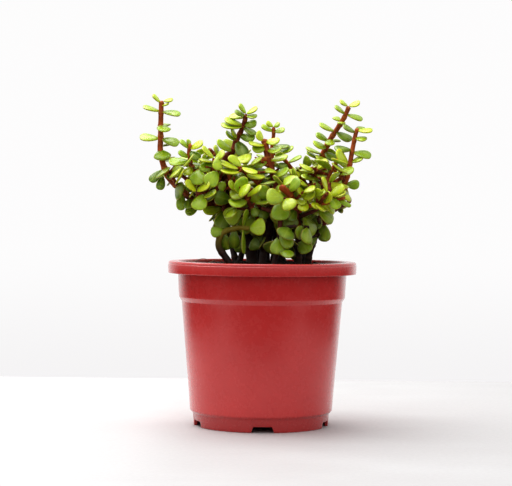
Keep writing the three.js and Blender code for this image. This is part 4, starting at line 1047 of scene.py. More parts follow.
# The frame's shoots and leaves grow first and by its rule, then what is too fine for it.
def growBush():
    mainShoots = {name: withCurve(dict(shoot, node=node)) for node, group in shootPlan.items()
                  for name, shoot in group.items()}
    shoots = []
    for shoot in mainShoots.values():
        shoots.append(shoot)
        shoots.extend(twigFrom(shoot, *twig) for twig in shoot.get("twigs", ()))
    shoots.extend(stalksOf(mainShoots))
    leaves = withFeelers(handPlacedLeaves(mainShoots, placedLeaves))
    growPairs(shoots, leaves, stemSamples(shoots))
    print("leaves by the frame's rule:", len(leaves))
    leaves += withFeelers(handPlacedLeaves(mainShoots, fineLeaves), added=True)
    fine = [twigFrom(mainShoots[name], *twig) for name, *twig in fineTwigs]
    fine.extend(withCurve(shoot) for shoot in finePlan)
    fine.extend(fillTwigs(shoots, stemSamples(shoots + fine)))
    everyShoot = shoots + fine
    stems = stemSamples(everyShoot)
    growPairs(fine, leaves, stems, len(shoots), True)
    halfWay = [dict(shoot, pairs=betweenPairs(shoot), turn=shoot["turn"] + 45)
               for shoot in everyShoot if len(shoot["pairs"]) > 1]
    growPairs(halfWay, leaves, stems, len(everyShoot), True)
    return everyShoot, inView(leaves)


# Each node of the bush as two pieces, its wood and its leaves.
def bushPieces(leafGreen, stemBrown):
    shoots, leaves = growBush()
    print("leaves in all:", len(leaves), "on", len(shoots), "shoots")
    for node in shootPlan:
        batches = [stemBatch(shoot) for shoot in shoots if shoot["node"] == node]
        settle(ringPiece(node + "_wood", batches, stemBrown), "jade_foliage", node)
        own = [leaf for leaf in leaves if leaf["node"] == node]
        if own:
            settle(ringPiece(node + "_leaves", [leafBatch(own)], leafGreen), "jade_foliage", node)


# The shoots by their nodes: the route, the radii at foot and tip, and the leaf pairs by their
# distance from the tip, of which those nearer than "byHand" are left to the placed leaves. "turn"
# is the direction of the first pair, and "leaf" the length of the smallest and of the full-grown
# leaf. Twigs go by the share along the shoot, the turn, the rise and the length. "stout" makes a
# shoot thicker than in the frame, "sun" yellower with painted sunlight, "dark" darker, and "olive"
# olive above its foot.
shootPlan = {
    "leafy_stem_left": {
        "trunk": dict(
            radius=(4, 3.3), twigs=[(0.75, -100, 35, 24)], stout=1.3,
            route=[(-8, -8, 124), (-8, -8, 131), (-10, -8, 143), (-15, -8, 154), (-20, -8, 166)]),
        "leftTall": dict(
            radius=(3.1, 1.9), pairs=[0, 8, 19, 27, 40, 53, 60, 69, 80], byHand=45, turn=0,
            leaf=(9, 14.5),
            twigs=[(0.1, -95, 40, 26), (0.16, 120, 45, 26), (0.27, -70, 55, 26),
                   (0.44, -110, 30, 18)],
            dark=-0.1,
            route=[(-20, -8, 163), (-24, -8, 168), (-32, -10, 173), (-39, -13, 176),
                   (-49, -16, 176), (-59, -18, 181), (-65, -19, 187), (-73, -18, 194),
                   (-78, -17, 204), (-81, -16, 217), (-81, -14, 227), (-81, -12, 240),
                   (-81, -10, 253), (-80, -10, 256)]),
        "leftSmall": dict(
            radius=(2.1, 1.4), pairs=[0, 2, 8, 15, 23, 31], byHand=18, turn=20, leaf=(8, 14),
            twigs=[(0.35, -150, 30, 16), (0.3, -40, 35, 18)],
            route=[(-46, -16, 176), (-52, -24, 187), (-56, -28, 204), (-58, -28, 214),
                   (-57, -28, 222)]),
        "leftFork": dict(
            radius=(1.7, 1.2),
            route=[(-47, -16, 176), (-50, -28, 179), (-51, -36, 183), (-51, -39, 186)]),
        "leftInner": dict(
            radius=(1.9, 1.3), pairs=[8, 17], turn=60, leaf=(11, 16), twigs=[(0.45, -150, 40, 18)],
            route=[(-38, -12, 176), (-36, -21, 187), (-36, -27, 199), (-39, -30, 208)]),
        "middleInner": dict(
            radius=(2, 1.3), pairs=[0, 4, 12, 21], turn=10, leaf=(11, 16),
            twigs=[(0.45, -30, 20, 20)],
            route=[(-20, -8, 166), (-24, -22, 180), (-26, -29, 194), (-27, -32, 203)]),
        "centreLeftTall": dict(
            radius=(2.6, 1.3), pairs=[0, 3.5, 9, 15, 21, 28, 36, 44, 52, 61], byHand=30, turn=35,
            leaf=(11, 15), twigs=[(0.25, -150, 40, 22), (0.42, -60, 35, 20), (0.5, 170, 45, 18)],
            stout=1.25, dark=0.45,
            route=[(-20, -8, 165), (-24, -4, 178), (-28, 0, 190), (-31, 2, 202), (-30, 2, 212),
                   (-24, 2, 218), (-22, 2, 225), (-19, 2, 231), (-17, 1, 236), (-15, 0, 242),
                   (-14, 0, 247)]),
        "leftBack": dict(
            radius=(2.2, 1.3), pairs=[0, 4, 13, 22, 31], turn=40, leaf=(11, 16),
            route=[(-33, -10, 173), (-42, 4, 184), (-50, 14, 196), (-54, 18, 208)]),
    },
    "curled_twig": {
        "curl": dict(
            radius=(2.4, 1.5), stout=1.25, dark=0.2, olive=0.85,
            route=[(-26, -38, 124), (-26, -38, 130), (-29.5, -38, 135), (-34, -38, 142),
                   (-33, -38, 150), (-29, -38, 154), (-23, -38, 156), (-17, -39, 157),
                   (-10, -41, 156)]),
    },
    "leafy_stem_centre": {
        "centre": dict(
            radius=(3.2, 2.4), pairs=[0, 3, 8, 14, 40, 47, 55, 64], byHand=38, turn=25,
            leaf=(10, 14),
            twigs=[(0.36, -120, 35, 24), (0.34, -50, 35, 26), (0.46, -85, 30, 24),
                   (0.55, -10, 40, 20)],
            route=[(0, -22, 124), (0, -22, 131), (3, -20, 151), (9, -16, 175), (11, -13, 188),
                   (8, -10, 198), (4, -8, 210), (2, -6, 221), (0, -5, 227)]),
        "centreLow": dict(
            radius=(2.1, 1.4), pairs=[0, 3, 10, 18, 27], turn=0, leaf=(11, 15.5),
            twigs=[(0.5, -150, 10, 18)],
            route=[(3, -20, 151), (-6, -30, 168), (-13, -37, 180), (-15, -39, 190)]),
        "centreLift": dict(
            radius=(2, 1.3), pairs=[10, 18], turn=35, leaf=(11, 16),
            route=[(9, -16, 175), (1, -22, 186), (-9, -26, 196), (-17, -28, 204)]),
    },
    "leafy_stem_centre_back": {
        "centreBack": dict(
            radius=(2.6, 1.3), pairs=[0, 3, 11, 20, 29, 38, 47, 56, 66], byHand=22, turn=5,
            leaf=(8, 14), twigs=[(0.35, 100, 35, 26)],
            route=[(9, 16, 124), (9, 16, 131), (11, 18, 155), (11, 20, 179), (8, 20, 199),
                   (7, 20, 219), (8, 20, 231), (8, 20, 238)]),
        "centreBackLeft": dict(
            radius=(2.1, 1.3), pairs=[0, 4, 13, 22, 31], turn=30, leaf=(11, 16),
            route=[(11, 18, 160), (0, 26, 176), (-8, 32, 192), (-10, 34, 204)]),
    },
    "leafy_stem_front": {
        "front": dict(
            radius=(2.3, 1.6),
            route=[(9, -46, 124), (9, -46, 131), (12, -46, 144), (13, -45, 157), (13, -42, 170),
                   (12, -41, 178)]),
    },
    "leafy_stem_front_right": {
        "frontRight": dict(
            radius=(2.5, 2.6), twigs=[(0.55, -30, 20, 20), (0.7, -120, 15, 18)], dark=-0.25,
            route=[(28, -28, 124), (28, -28, 131), (28, -30, 148), (27, -32, 162), (25, -36, 174),
                   (20, -42, 183), (13, -50, 189)]),
        "sprig": dict(
            radius=(1.8, 1.2), pairs=[0, 9, 21, 33], turn=50, leaf=(8, 12.5),
            twigs=[(0.5, -60, 35, 16), (0.7, 90, 65, 18)], dark=-0.3, sun=0.75,
            route=[(27, -34, 169), (32, -40, 173), (39, -44, 175), (51, -46, 177), (63, -46, 181)]),
    },
    "leafy_stem_right": {
        "rightTall": dict(
            radius=(3, 1.7), pairs=[0, 8, 15, 25, 34, 43, 51, 60, 70, 80], byHand=52, turn=0,
            leaf=(8.5, 14), twigs=[(0.35, -80, 35, 24), (0.42, 10, 45, 20), (0.5, -100, 30, 22)],
            dark=-0.1,
            route=[(33, 6, 124), (33, 6, 131), (32, 6, 149), (34, 6, 170), (38, 6, 189),
                   (44, 4, 206), (47, 4, 215), (51, 3, 223), (54, 2, 229), (61, 1, 240),
                   (64, 0, 245), (67, 0, 252), (67, 0, 254)]),
        "smallRight": dict(
            radius=(2, 1.5), pairs=[0, 4, 12, 20], turn=70, leaf=(9, 12),
            route=[(38, 6, 186), (32, 2, 194), (25, 0, 201), (20, -1, 207), (16, -2, 212)]),
        "rightInner": dict(
            radius=(2, 1.3), pairs=[0, 4, 12, 21], turn=0, leaf=(11, 16),
            twigs=[(0.5, -150, 35, 18)],
            route=[(34, 6, 172), (37, -6, 183), (40, -14, 194), (42, -16, 204)]),
    },
    "leafy_stem_far_right": {
        "farRight": dict(
            radius=(2.9, 1.6), pairs=[0, 9, 18, 28, 38, 48, 58], byHand=32, turn=0, leaf=(9, 14),
            twigs=[(0.3, -100, 20, 20), (0.5, 60, 35, 20), (0.62, -110, 40, 18)], dark=-0.15,
            route=[(36, -12, 124), (36, -12, 131), (38, -12, 140), (42, -13, 152), (48, -15, 161),
                   (55, -17, 172), (61, -18, 184), (65, -18, 195), (68, -17, 208), (70, -15, 220),
                   (72, -13, 230), (74, -12, 236)]),
        "thirdRight": dict(
            radius=(2, 1.4), pairs=[0, 3, 10, 18, 27], turn=30, leaf=(11, 16),
            twigs=[(0.5, -150, 25, 18)],
            route=[(44, -13, 155), (45, -20, 165), (47, -27, 178), (49, -28, 191), (53, -27, 202),
                   (59, -26, 212)]),
    },
    "leafy_stem_back_left": {
        "backLeft": dict(
            radius=(3, 1.4), pairs=[0, 4, 13, 22, 31, 41], turn=15, leaf=(11, 17),
            twigs=[(0.45, 180, 35, 24), (0.5, 80, 35, 24)],
            route=[(-22, 30, 124), (-22, 30, 131), (-28, 36, 152), (-36, 44, 172), (-42, 52, 190),
                   (-44, 56, 206)]),
        "backLeftLow": dict(
            radius=(2.2, 1.3), pairs=[0, 4, 13, 22, 31], turn=60, leaf=(11, 17),
            twigs=[(0.5, 100, 35, 20)],
            route=[(-27, 35, 148), (-36, 33, 163), (-45, 31, 178), (-51, 31, 193)]),
    },
    "leafy_stem_back": {
        "back": dict(
            radius=(2.8, 1.4), pairs=[0, 4, 13, 22, 31, 41], turn=40, leaf=(11, 17),
            twigs=[(0.45, 30, 35, 24), (0.6, 110, 30, 27)],
            route=[(4, 44, 124), (4, 44, 131), (3, 50, 150), (-2, 58, 170), (-4, 64, 188),
                   (-4, 66, 202)]),
    },
    "leafy_stem_back_right": {
        "backRight": dict(
            radius=(3, 1.4), pairs=[0, 4, 13, 22, 31, 41], turn=75, leaf=(11, 17),
            twigs=[(0.45, 0, 35, 24), (0.5, 100, 35, 24)],
            route=[(34, 34, 124), (34, 34, 131), (38, 40, 152), (44, 48, 172), (46, 54, 190),
                   (46, 56, 204)]),
        "backRightLow": dict(
            radius=(2.2, 1.3), pairs=[0, 4, 13, 22, 31], turn=20, leaf=(11, 17),
            twigs=[(0.5, 60, 35, 20)],
            route=[(38, 39, 150), (47, 35, 164), (53, 32, 179), (57, 31, 193)]),
    },
}


# Rows of leaves under the name of their shoot, as one list.
def leavesOf(groups):
    return [(name, *row) for name, rows in groups for row in rows]


# Leaves that stand out: root, tip, width, the way the upper face looks, and a tone from 0, dark
# green, to 1, yellow.
toFront, toFrontAndUp, toRight = (0, -1, 0.3), (0, -0.7, 0.7), (0.9, -0.45, 0)
placedLeaves = leavesOf([
    ("front", [
        ((12, -42, 179), (14, -48, 163), 15, toFront, 0.3),
    ]),
    ("curl", [
        ((-11, -41, 156), (2, -46, 158), 14, toFront, 0.6),
        ((-15, -40, 157), (-13, -42, 171), 9, toRight, 0.3),
        ((-15, -40, 156), (-15, -43, 137), 7, toRight, 0.3),
        ((-22, -38, 156), (-22, -36, 141), 9, toFront, 0.05),
        ((-29, -38, 154), (-40, -41, 153), 9, toFront, 0.3),
    ]),
    ("leftTall", [
        ((-27, -8, 170), (-33, -18, 157), 12, toFront, 0.3),
        ((-32, -10, 173), (-44, -20, 168), 9, toFrontAndUp, 0.3),
    ]),
    ("leftFork", [
        ((-51, -38, 185), (-60, -42, 192), 7, toFrontAndUp, 0.3),
        ((-51, -38, 185), (-42, -42, 191), 7, toFrontAndUp, 0.3),
    ]),
    ("leftTall", [
        ((-64, -19, 186), (-64, -22, 170), 7.5, toFront, 0.3),
        ((-56, -18, 180), (-60, -24, 172), 7.5, toFront, 0.3),
        ((-49, -16, 176), (-60, -22, 168), 6.5, toFrontAndUp, 0.3),
        ((-42, -14, 176), (-54, -24, 177), 11, toFront, 0.3),
    ]),
    ("leftSmall", [
        ((-46, -16, 176), (-36, -24, 183), 7, toFrontAndUp, 0.3),
    ]),
    ("frontRight", [
        ((19, -43, 184), (28, -48, 194), 11, toFrontAndUp, 0.3),
        ((28, -30, 149), (35, -38, 138), 12, toFront, 0.3),
    ]),
    ("front", [
        ((12, -46, 142), (22, -58, 135), 9, toFrontAndUp, 0.3),
        ((12, -46, 151), (10, -52, 137), 11, toFront, 0.3),
        ((13, -46, 155), (21, -51, 142), 10, toFront, 0.3),
    ]),
    ("farRight", [
        ((48, -15, 162), (49, -22, 147), 8.5, toFront, 0.3),
        ((45, -14, 157), (39, -21, 168), 8.5, toFront, 0.3),
        ((65, -18, 190), (75, -22, 191), 8, toFront, 0.3),
    ]),
    ("sprig", [
        ((57, -46, 179), (67, -48, 174), 5, toFrontAndUp, 0.3),
    ]),
    ("leftTall", [
        ((-81, -10, 254), (-88, -12, 260), 8, (0.45, -0.4, 0.8), 0.75),
        ((-80, -10, 255), (-72, -12, 256), 8, (0, -0.45, 0.9), 0.8),
        ((-80, -11, 253), (-75, -15, 253), 5, (0, -0.5, 0.85), 0.7),
        ((-82, -11, 248), (-95, -14, 250), 12, (-0.1, -0.38, 0.92), 0.6),
        ((-79, -11, 247), (-66, -14, 245), 12, (0.15, -0.42, 0.9), 0.4),
        ((-80, -12, 236), (-77, -25, 231), 11, (0.1, -0.5, 0.85), 0.45),
        ((-80, -12, 235), (-77, 2, 239), 9, (0, -0.3, 0.95), 0.2),
        ((-82, -14, 227), (-97, -16, 226), 13, (-0.1, -0.5, 0.85), 0.6),
        ((-79, -14, 227), (-67, -17, 222), 13, (0.35, -0.55, 0.75), 0.35),
        ((-79, -15, 219), (-73, -8, 222), 6, (-0.2, -0.3, 0.9), 0.15),
        ((-80, -15, 217), (-78, -25, 209), 13.5, (0, -0.7, 0.7), 0.3),
    ]),
    ("leftSmall", [
        ((-60, -28, 218), (-65, -30, 224), 8, (0.6, -0.4, 0.6), 0.4),
        ((-57, -28, 218), (-47, -32, 222), 9, (-0.2, -0.7, 0.7), 0.95),
        ((-58, -28, 218), (-59, -26, 225), 6, (0.8, -0.5, 0), 0.6),
        ((-59, -28, 211), (-66, -32, 215), 7, (0.3, -0.6, 0.65), 0.4),
        ((-57, -28, 216), (-50, -33, 210), 8, (0.2, -0.9, 0.3), 0.2),
        ((-59, -28, 208), (-73, -33, 206), 11.5, (0.1, -0.55, 0.8), 0.5),
        ((-58, -27, 204), (-59, -34, 197), 8, (0, -0.85, 0.5), 0.8),
        ((-57, -27, 207), (-50, -34, 203), 8, (0.3, -0.8, 0.4), 0.1),
    ]),
    ("leftInner", [
        ((-39, -30, 211), (-48, -36, 218), 10, (0.1, -0.6, 0.8), 0.95),
        ((-39, -30, 209), (-30, -34, 215), 10, (0.1, -0.6, 0.78), 0.75),
        ((-39, -31, 208), (-49, -38, 208), 9, (0, -0.4, 0.92), 1.0),
        ((-35, -34, 211), (-36, -40, 201), 8.5, (0.25, -0.9, 0.4), 0.65),
        ((-40, -30, 207), (-48, -38, 201), 9, (0, -0.85, 0.5), 0.4),
    ]),
    ("leftSmall", [
        ((-50, -36, 201), (-51, -44, 190), 13.5, (-0.1, -0.8, 0.6), 0.4),
    ]),
    ("leftInner", [
        ((-36, -38, 200), (-43, -45, 189), 12.5, (0.15, -0.95, 0.3), 0.5),
    ]),
    ("leftFork", [
        ((-52, -42, 185), (-60, -46, 192), 8.5, (0.35, -0.7, 0.6), 1.0),
        ((-51, -42, 185), (-41, -46, 190), 9, (-0.3, -0.7, 0.6), 1.0),
        ((-47, -40, 182), (-50, -47, 170), 12.5, (-0.15, -0.92, 0.4), 0.5),
    ]),
    ("leftTall", [
        ((-56, -21, 180), (-59, -27, 171), 8, (-0.3, -0.95, 0.1), 0.15),
    ]),
    ("leftFork", [
        ((-46, -41, 180), (-36, -45, 184), 9, (-0.2, -0.55, 0.8), 0.7),
    ]),
    ("middleInner", [
        ((-26, -30, 178), (-37, -36, 181), 12, (-0.15, -1, 0.1), 0.05),
        ((-32, -34, 185), (-32, -38, 192), 6.5, (0.1, -1, 0.1), 0.35),
    ]),
    ("leftTall", [
        ((-33, -14, 172), (-46, -23, 168), 10, (0, -0.8, 0.6), 0.75),
        ((-28, -13, 170), (-34, -19, 156), 12.5, (-0.1, -1, 0.15), 0.25),
        ((-52, -18, 171), (-60, -22, 167), 7, (0, -0.8, 0.5), 0.3),
    ]),
    ("centreLeftTall", [
        ((-15, 0, 248), (-20, -3, 254), 7, (0.5, -0.6, 0.6), 0.6),
        ((-15, 0, 248), (-5, -3, 251), 8.5, (-0.1, -0.55, 0.83), 0.85),
        ((-15, 0, 246), (-23, -4, 248), 8, (-0.1, -0.65, 0.75), 0.15),
        ((-15, 0, 246), (-6, -4, 244), 8, (0.2, -0.6, 0.78), 0.6),
        ((-16, 0, 244), (-27, 5, 245), 10, (-0.1, -0.5, 0.85), 0.75),
        ((-17, 1, 239), (-31, -4, 241), 11.5, (-0.1, -0.55, 0.83), 0.7),
        ((-18, 1, 237), (-33, -8, 236), 12, (0, -0.5, 0.85), 0.65),
        ((-16, 1, 239), (-6, -4, 239), 8.5, (0.1, -0.85, 0.5), 0.25),
        ((-16, 1, 236), (-7, -4, 230), 8, (0.5, -0.7, 0.4), 0.15),
        ((-18, 2, 229), (-8, -6, 227), 9, (0.2, -0.9, 0.4), 0.2),
        ((-19, 2, 227), (-26, -8, 233), 8, (0.3, -0.8, 0.5), 0.65),
        ((-20, 2, 225), (-30, -6, 231), 8.5, (0.2, -0.7, 0.7), 0.5),
        ((-20, 2, 225), (-15, -8, 213), 10.5, (0.1, -1, 0.1), 0.1),
        ((-24, 2, 218), (-37, -8, 223), 11, (0.1, -0.7, 0.6), 0.55),
    ]),
    ("centreLift", [
        ((-20, -28, 203), (-33, -36, 206), 12, (0, -0.55, 0.85), 0.85),
        ((-19, -30, 200), (-33, -40, 200), 12.5, (0, -0.55, 0.85), 0.9),
        ((-17, -26, 206), (-27, -26, 212), 8.5, (-0.3, -0.45, 0.85), 0.75),
        ((-17, -28, 205), (-6, -36, 198), 9.5, (0.3, -0.55, 0.8), 0.85),
        ((1, -23, 197), (-12, -31, 196), 12.5, (0, -0.5, 0.87), 0.9),
    ]),
    ("centreLow", [
        ((-14, -40, 182), (-19, -46, 194), 14, (0.05, -0.85, 0.5), 0.4),
        ((-21, -38, 186), (-27, -42, 192), 8, (0.2, -0.7, 0.65), 0.75),
        ((-11, -38, 178), (-25, -46, 174), 12.5, (-0.1, -0.75, 0.65), 0.55),
        ((-13, -38, 181), (-1, -44, 188), 8, (-0.2, -0.65, 0.7), 0.8),
    ]),
    ("front", [
        ((5, -34, 179), (-3, -40, 188), 10, (-0.3, -0.95, 0.3), 0.35),
    ]),
    ("centreLow", [
        ((-6, -34, 176), (5, -42, 176), 7, (0, -0.5, 0.85), 0.6),
        ((2, -32, 173), (-1, -36, 164), 9, (0.1, -1, 0.1), 0.1),
        ((-11, -32, 173), (-4, -36, 166), 8, (0.1, -0.95, 0.2), 0.25),
    ]),
    ("centreBack", [
        ((6, 20, 235), (-2, 18, 238), 7.5, (0, -0.6, 0.8), 0.6),
        ((8, 20, 235), (17, 18, 235), 8, (0, -0.6, 0.8), 0.6),
        ((7, 20, 238), (2, 18, 241), 6, (0.3, -0.7, 0.6), 0.8),
        ((8, 20, 238), (13, 18, 240), 6, (0, -0.7, 0.7), 0.5),
        ((9, 20, 222), (20, 12, 221), 9.5, (0, -0.45, 0.9), 0.15),
        ((10, 20, 216), (24, 12, 220), 9.5, (-0.25, -0.55, 0.8), 0.6),
    ]),
    ("centre", [
        ((1, -7, 226), (-6, -9, 231), 9.5, (0.2, -0.75, 0.6), 0.95),
        ((2, -7, 226), (12, -13, 224), 9, (0.1, -0.8, 0.6), 0.85),
        ((0, -8, 222), (-11, -14, 222), 9.5, (-0.1, -0.55, 0.85), 0.85),
        ((0, -8, 221), (-8, -14, 217), 8.5, (-0.1, -0.85, 0.5), 0.6),
        ((3, -8, 219), (13, -16, 217), 10, (0.1, -0.75, 0.65), 0.6),
        ((6, -9, 211), (19, -14, 212), 9.5, (0.1, -0.6, 0.8), 0.75),
        ((3, -9, 209), (-8, -16, 205), 9, (-0.2, -0.75, 0.6), 0.35),
        ((4, -10, 201), (-6, -18, 201), 9, (0, -0.6, 0.75), 0.1),
        ((8, -13, 198), (19, -24, 201), 11, (0, -0.75, 0.6), 0.45),
    ]),
    ("smallRight", [
        ((19, 0, 209), (30, -6, 213), 8.5, (-0.2, -0.45, 0.9), 0.45),
        ((20, 0, 208), (13, -8, 204), 8, (0, -0.9, 0.3), 0.1),
    ]),
    ("rightTall", [
        ((67, 0, 253), (60, -3, 257), 7.5, (0.4, -0.5, 0.75), 0.75),
        ((68, 0, 253), (76, -3, 256), 8.5, (-0.2, -0.6, 0.75), 0.85),
        ((65, 0, 248), (56, -3, 253), 9.5, (0.4, -0.45, 0.8), 0.45),
        ((66, 1, 247), (78, -3, 243), 10.5, (0.25, -0.45, 0.87), 0.4),
        ((63, 1, 242), (56, 6, 245), 7, (0.2, -0.5, 0.85), 0.6),
        ((62, 1, 242), (61, -10, 239), 7, (0, -0.4, 0.92), 0.6),
        ((57, 2, 233), (44, -4, 238), 10.5, (0.25, -0.5, 0.85), 0.6),
        ((58, 2, 232), (69, -3, 226), 11, (0.3, -0.65, 0.7), 0.15),
        ((52, 3, 226), (42, -4, 231), 8.5, (0.1, -0.7, 0.7), 0.35),
        ((54, 3, 227), (52, -9, 222), 8, (0, -0.6, 0.8), 0.6),
        ((54, 3, 226), (61, 9, 227), 6, (0, -0.4, 0.9), 0.1),
        ((50, 3, 221), (40, -8, 222), 10.5, (0, -0.8, 0.6), 0.6),
        ((47, 3, 217), (34, -4, 219), 10.5, (0, -0.45, 0.9), 0.55),
        ((45, 3, 212), (35, -4, 216), 8, (0.3, -0.45, 0.85), 0.4),
        ((48, 3, 218), (57, -4, 211), 9, (0.35, -0.85, 0.35), 0.1),
        ((52, 0, 210), (42, -9, 211), 11, (0, -0.7, 0.7), 0.75),
    ]),
    ("rightInner", [
        ((45, -14, 196), (30, -22, 196), 10.5, (0, -0.5, 0.87), 0.65),
        ((52, -14, 198), (42, -20, 197), 7, (0, -0.5, 0.87), 0.65),
    ]),
    ("thirdRight", [
        ((57, -24, 201), (70, -30, 201), 11, (0.1, -0.7, 0.7), 0.6),
    ]),
    ("farRight", [
        ((66, -20, 208), (56, -28, 216), 11.5, (0, -0.8, 0.6), 0.9),
        ((72, -12, 233), (62, -16, 237), 9.5, (0.25, -0.5, 0.8), 0.15),
        ((73, -12, 234), (85, -16, 233), 10.5, (0, -0.42, 0.9), 0.85),
        ((73, -12, 234), (78, -3, 237), 7, (0, -0.4, 0.9), 0.3),
        ((71, -13, 228), (80, -18, 226), 9, (0.1, -0.55, 0.85), 0.65),
        ((70, -15, 217), (84, -19, 214), 11.5, (0.15, -0.6, 0.8), 0.35),
        ((69, -15, 218), (56, -20, 219), 11, (0, -0.55, 0.85), 0.1),
        ((69, -17, 208), (78, -21, 212), 8.5, (-0.25, -0.55, 0.8), 0.6),
    ]),
    ("sprig", [
        ((33, -40, 183), (25, -46, 187), 8.5, (0, -0.75, 0.6), 0.8),
        ((31, -42, 180), (40, -48, 183), 9, (0, -0.75, 0.6), 0.85),
        ((32, -42, 178), (30, -49, 170), 9, (0, -0.8, 0.55), 0.9),
        ((41, -44, 182), (49, -50, 186), 7.5, (0, -0.7, 0.7), 0.6),
        ((41, -44, 180), (44, -48, 187), 8, (-0.3, -0.9, 0.2), 0.8),
        ((51, -46, 182), (62, -50, 189), 9.5, (-0.1, -0.75, 0.6), 0.85),
        ((54, -46, 182), (63, -52, 184), 7.5, (-0.1, -0.6, 0.8), 1.0),
        ((52, -46, 181), (57, -50, 172), 9, (0.2, -0.9, 0.3), 0.55),
    ]),
    ("thirdRight", [
        ((42, -18, 170), (42, -24, 156), 9, (-0.2, -1, 0), 0.1),
    ]),
    ("farRight", [
        ((46, -15, 162), (48, -22, 147), 10.5, (0.1, -1, 0.05), 0.2),
    ]),
])

# Leaves that only the finer pieces have.
fineLeaves = leavesOf([
    ("leftTall", [
        ((-79, -18, 196), (-81, -22, 186), 7, (0, -0.9, 0.3), 0.05),
        ((-80, -17, 201), (-88, -21, 192), 8, (-0.3, -0.9, 0.3), 0.1),
        ((-78, -17, 199), (-70, -22, 195), 8, (0.2, -0.8, 0.5), 0.15),
    ]),
    ("curl", [
        ((-31, -37, 153), (-27, -34, 140), 9, toFront, 0.0),
    ]),
    ("frontRight", [
        ((24, -40, 180), (33, -46, 176), 8, (0.1, -0.8, 0.6), 0.7),
        ((26, -36, 172), (20, -44, 163), 9, (0, -1, 0.2), 0.1),
    ]),
    ("sprig", [
        ((46, -46, 177), (52, -52, 184), 9, (0, -0.8, 0.5), 0.95),
        ((44, -46, 176), (38, -52, 173), 8, (0, -0.8, 0.5), 0.9),
    ]),
])

# Shoots too fine for the frame: a pruned stub, and thin stubs and stems among the trunks.
finePlan = [
    dict(node="leafy_stem_centre", radius=(1.7, 1.9), dark=-0.6,
         route=[(4, -8, 212), (-3, -11, 209), (-9, -14, 205)]),
    dict(node="leafy_stem_left", radius=(2.6, 2.1), dark=0.6,
         route=[(-20, 19, 123), (-16, 19, 138), (-12, 18, 153)]),
    dict(node="leafy_stem_centre_back", radius=(2.6, 2.1), dark=0.6,
         route=[(-6, 22, 123), (-2, 21, 138), (3, 21, 153)]),
    dict(node="leafy_stem_back_right", radius=(2.6, 2.1), dark=0.6,
         route=[(29, 18, 123), (26, 18, 138), (21, 18, 153)]),
    dict(node="leafy_stem_left", radius=(2.4, 1.4), pairs=[0, 6, 14], turn=20, leaf=(12, 15),
         route=[(-8, 3, 123), (-13, 4, 140), (-20, 7, 156), (-28, 10, 168)]),
    dict(node="leafy_stem_centre_back", radius=(3.4, 1.4), pairs=[0, 6, 14], turn=60, leaf=(12, 15),
         route=[(1, 13, 123), (4, 13, 140), (7, 15, 156), (9, 17, 168)]),
    dict(node="leafy_stem_back_right", radius=(2.4, 1.4), pairs=[0, 6, 14], turn=100, leaf=(12, 15),
         route=[(19, 22, 123), (14, 22, 140), (8, 25, 156), (4, 30, 168)]),
    dict(node="leafy_stem_right", radius=(2.4, 1.4), pairs=[0, 6, 14], turn=30, leaf=(12, 15),
         route=[(12, 0, 123), (16, -1, 138), (22, -3, 152), (28, -6, 164)]),
]

# Twigs too fine for the frame: shoot, share along it, turn, rise and length.
fineTwigs = [
    ("trunk", 0.9, -130, 30, 24), ("leftTall", 0.3, -120, 20, 20), ("centreLow", 0.5, -20, 10, 18),
    ("rightInner", 0.5, -20, 35, 18), ("thirdRight", 0.6, 10, 30, 16), ("backLeft", 0.7, 0, 40, 20),
    ("back", 0.7, 90, 30, 20), ("backRight", 0.7, 170, 40, 20), ("centreBack", 0.55, 150, 40, 24),
    ("centreBack", 0.45, 30, 40, 26), ("centre", 0.3, 150, 40, 26), ("farRight", 0.42, 0, 30, 18),
    ("rightTall", 0.56, 60, 45, 20), ("farRight", 0.22, -80, 10, 16),
    ("frontRight", 0.45, -60, 0, 16), ("frontRight", 0.3, 10, 20, 16),
    ("front", 0.6, -20, 10, 14), ("front", 0.8, 170, 20, 16),
]


hairForm = {"radius": 0.22, "columns": 6, "rows": 26}
hairRoutes = [
    [(-62, -2, 126), (-60, -6, 129.5), (-56, -12, 130.2), (-52, -16, 127)],
    [(-57, -10, 127), (-52, -12, 130.5), (-46, -10, 132), (-40, -8, 129), (-36, -6, 127)],
    [(-45, -22, 127), (-40, -20, 130), (-34, -16, 131.5), (-29, -12, 128)],
    [(22, -18, 149), (27, -20, 152.5), (31, -20, 155), (34, -20, 156.5)],
    [(50, 20, 126), (46, 26, 128.5), (38, 30, 128), (30, 34, 126)],
    [(-30, 44, 126), (-22, 50, 128.5), (-12, 52, 127.8), (-4, 56, 125.5)],
]


def hairPiece(material):
    form = hairForm
    share, around = np.linspace(0, 1, form["rows"]), evenAngles(form["columns"])
    wide = form["radius"] * (1 - 0.4 * share)[:, None]
    batches = []
    for route in hairRoutes:
        hair = withCurve({"route": route})
        point, tangent = pointAt(hair, share), tangentAt(hair, share)
        places = tubeAlong(point, tangent, (0, 0.3, 0.95), wide, around)
        batches.append(ringBatch(places, len(share), len(around)))
    return settle(ringPiece("hair_roots", batches, material), "potting_soil")


tableForm = {"back": 357, "front": -314, "side": 420, "thickness": 18, "edge": 3}
# The left and right colours of the table are painted light and painted shade.
tableLook = {
    "dull": (0.56, 0.55, 0.55, 1), "pale": (0.59, 0.585, 0.585, 1), "right": (0.55, 0.54, 0.54, 1),
    "left": (0.63, 0.625, 0.625, 1), "roughness": (0.55, 0.75),
}
lightForm = {
    "backdrop": (0.985, 0.98, 0.982, 1), "lowBackdrop": (0.93, 0.92, 0.925, 1), "wall": 0.95,
    "front": 1.0, "gloom": 0.05, "gamma": 0.82,
}
lampForm = {"place": (-320, 210, 1090), "aim": 150, "power": 13.5, "size": 1.15}
cameraForm = {"place": (-5.2, -1312, 169), "pitch": 1.07, "roll": 0.57, "lens": 116.0}


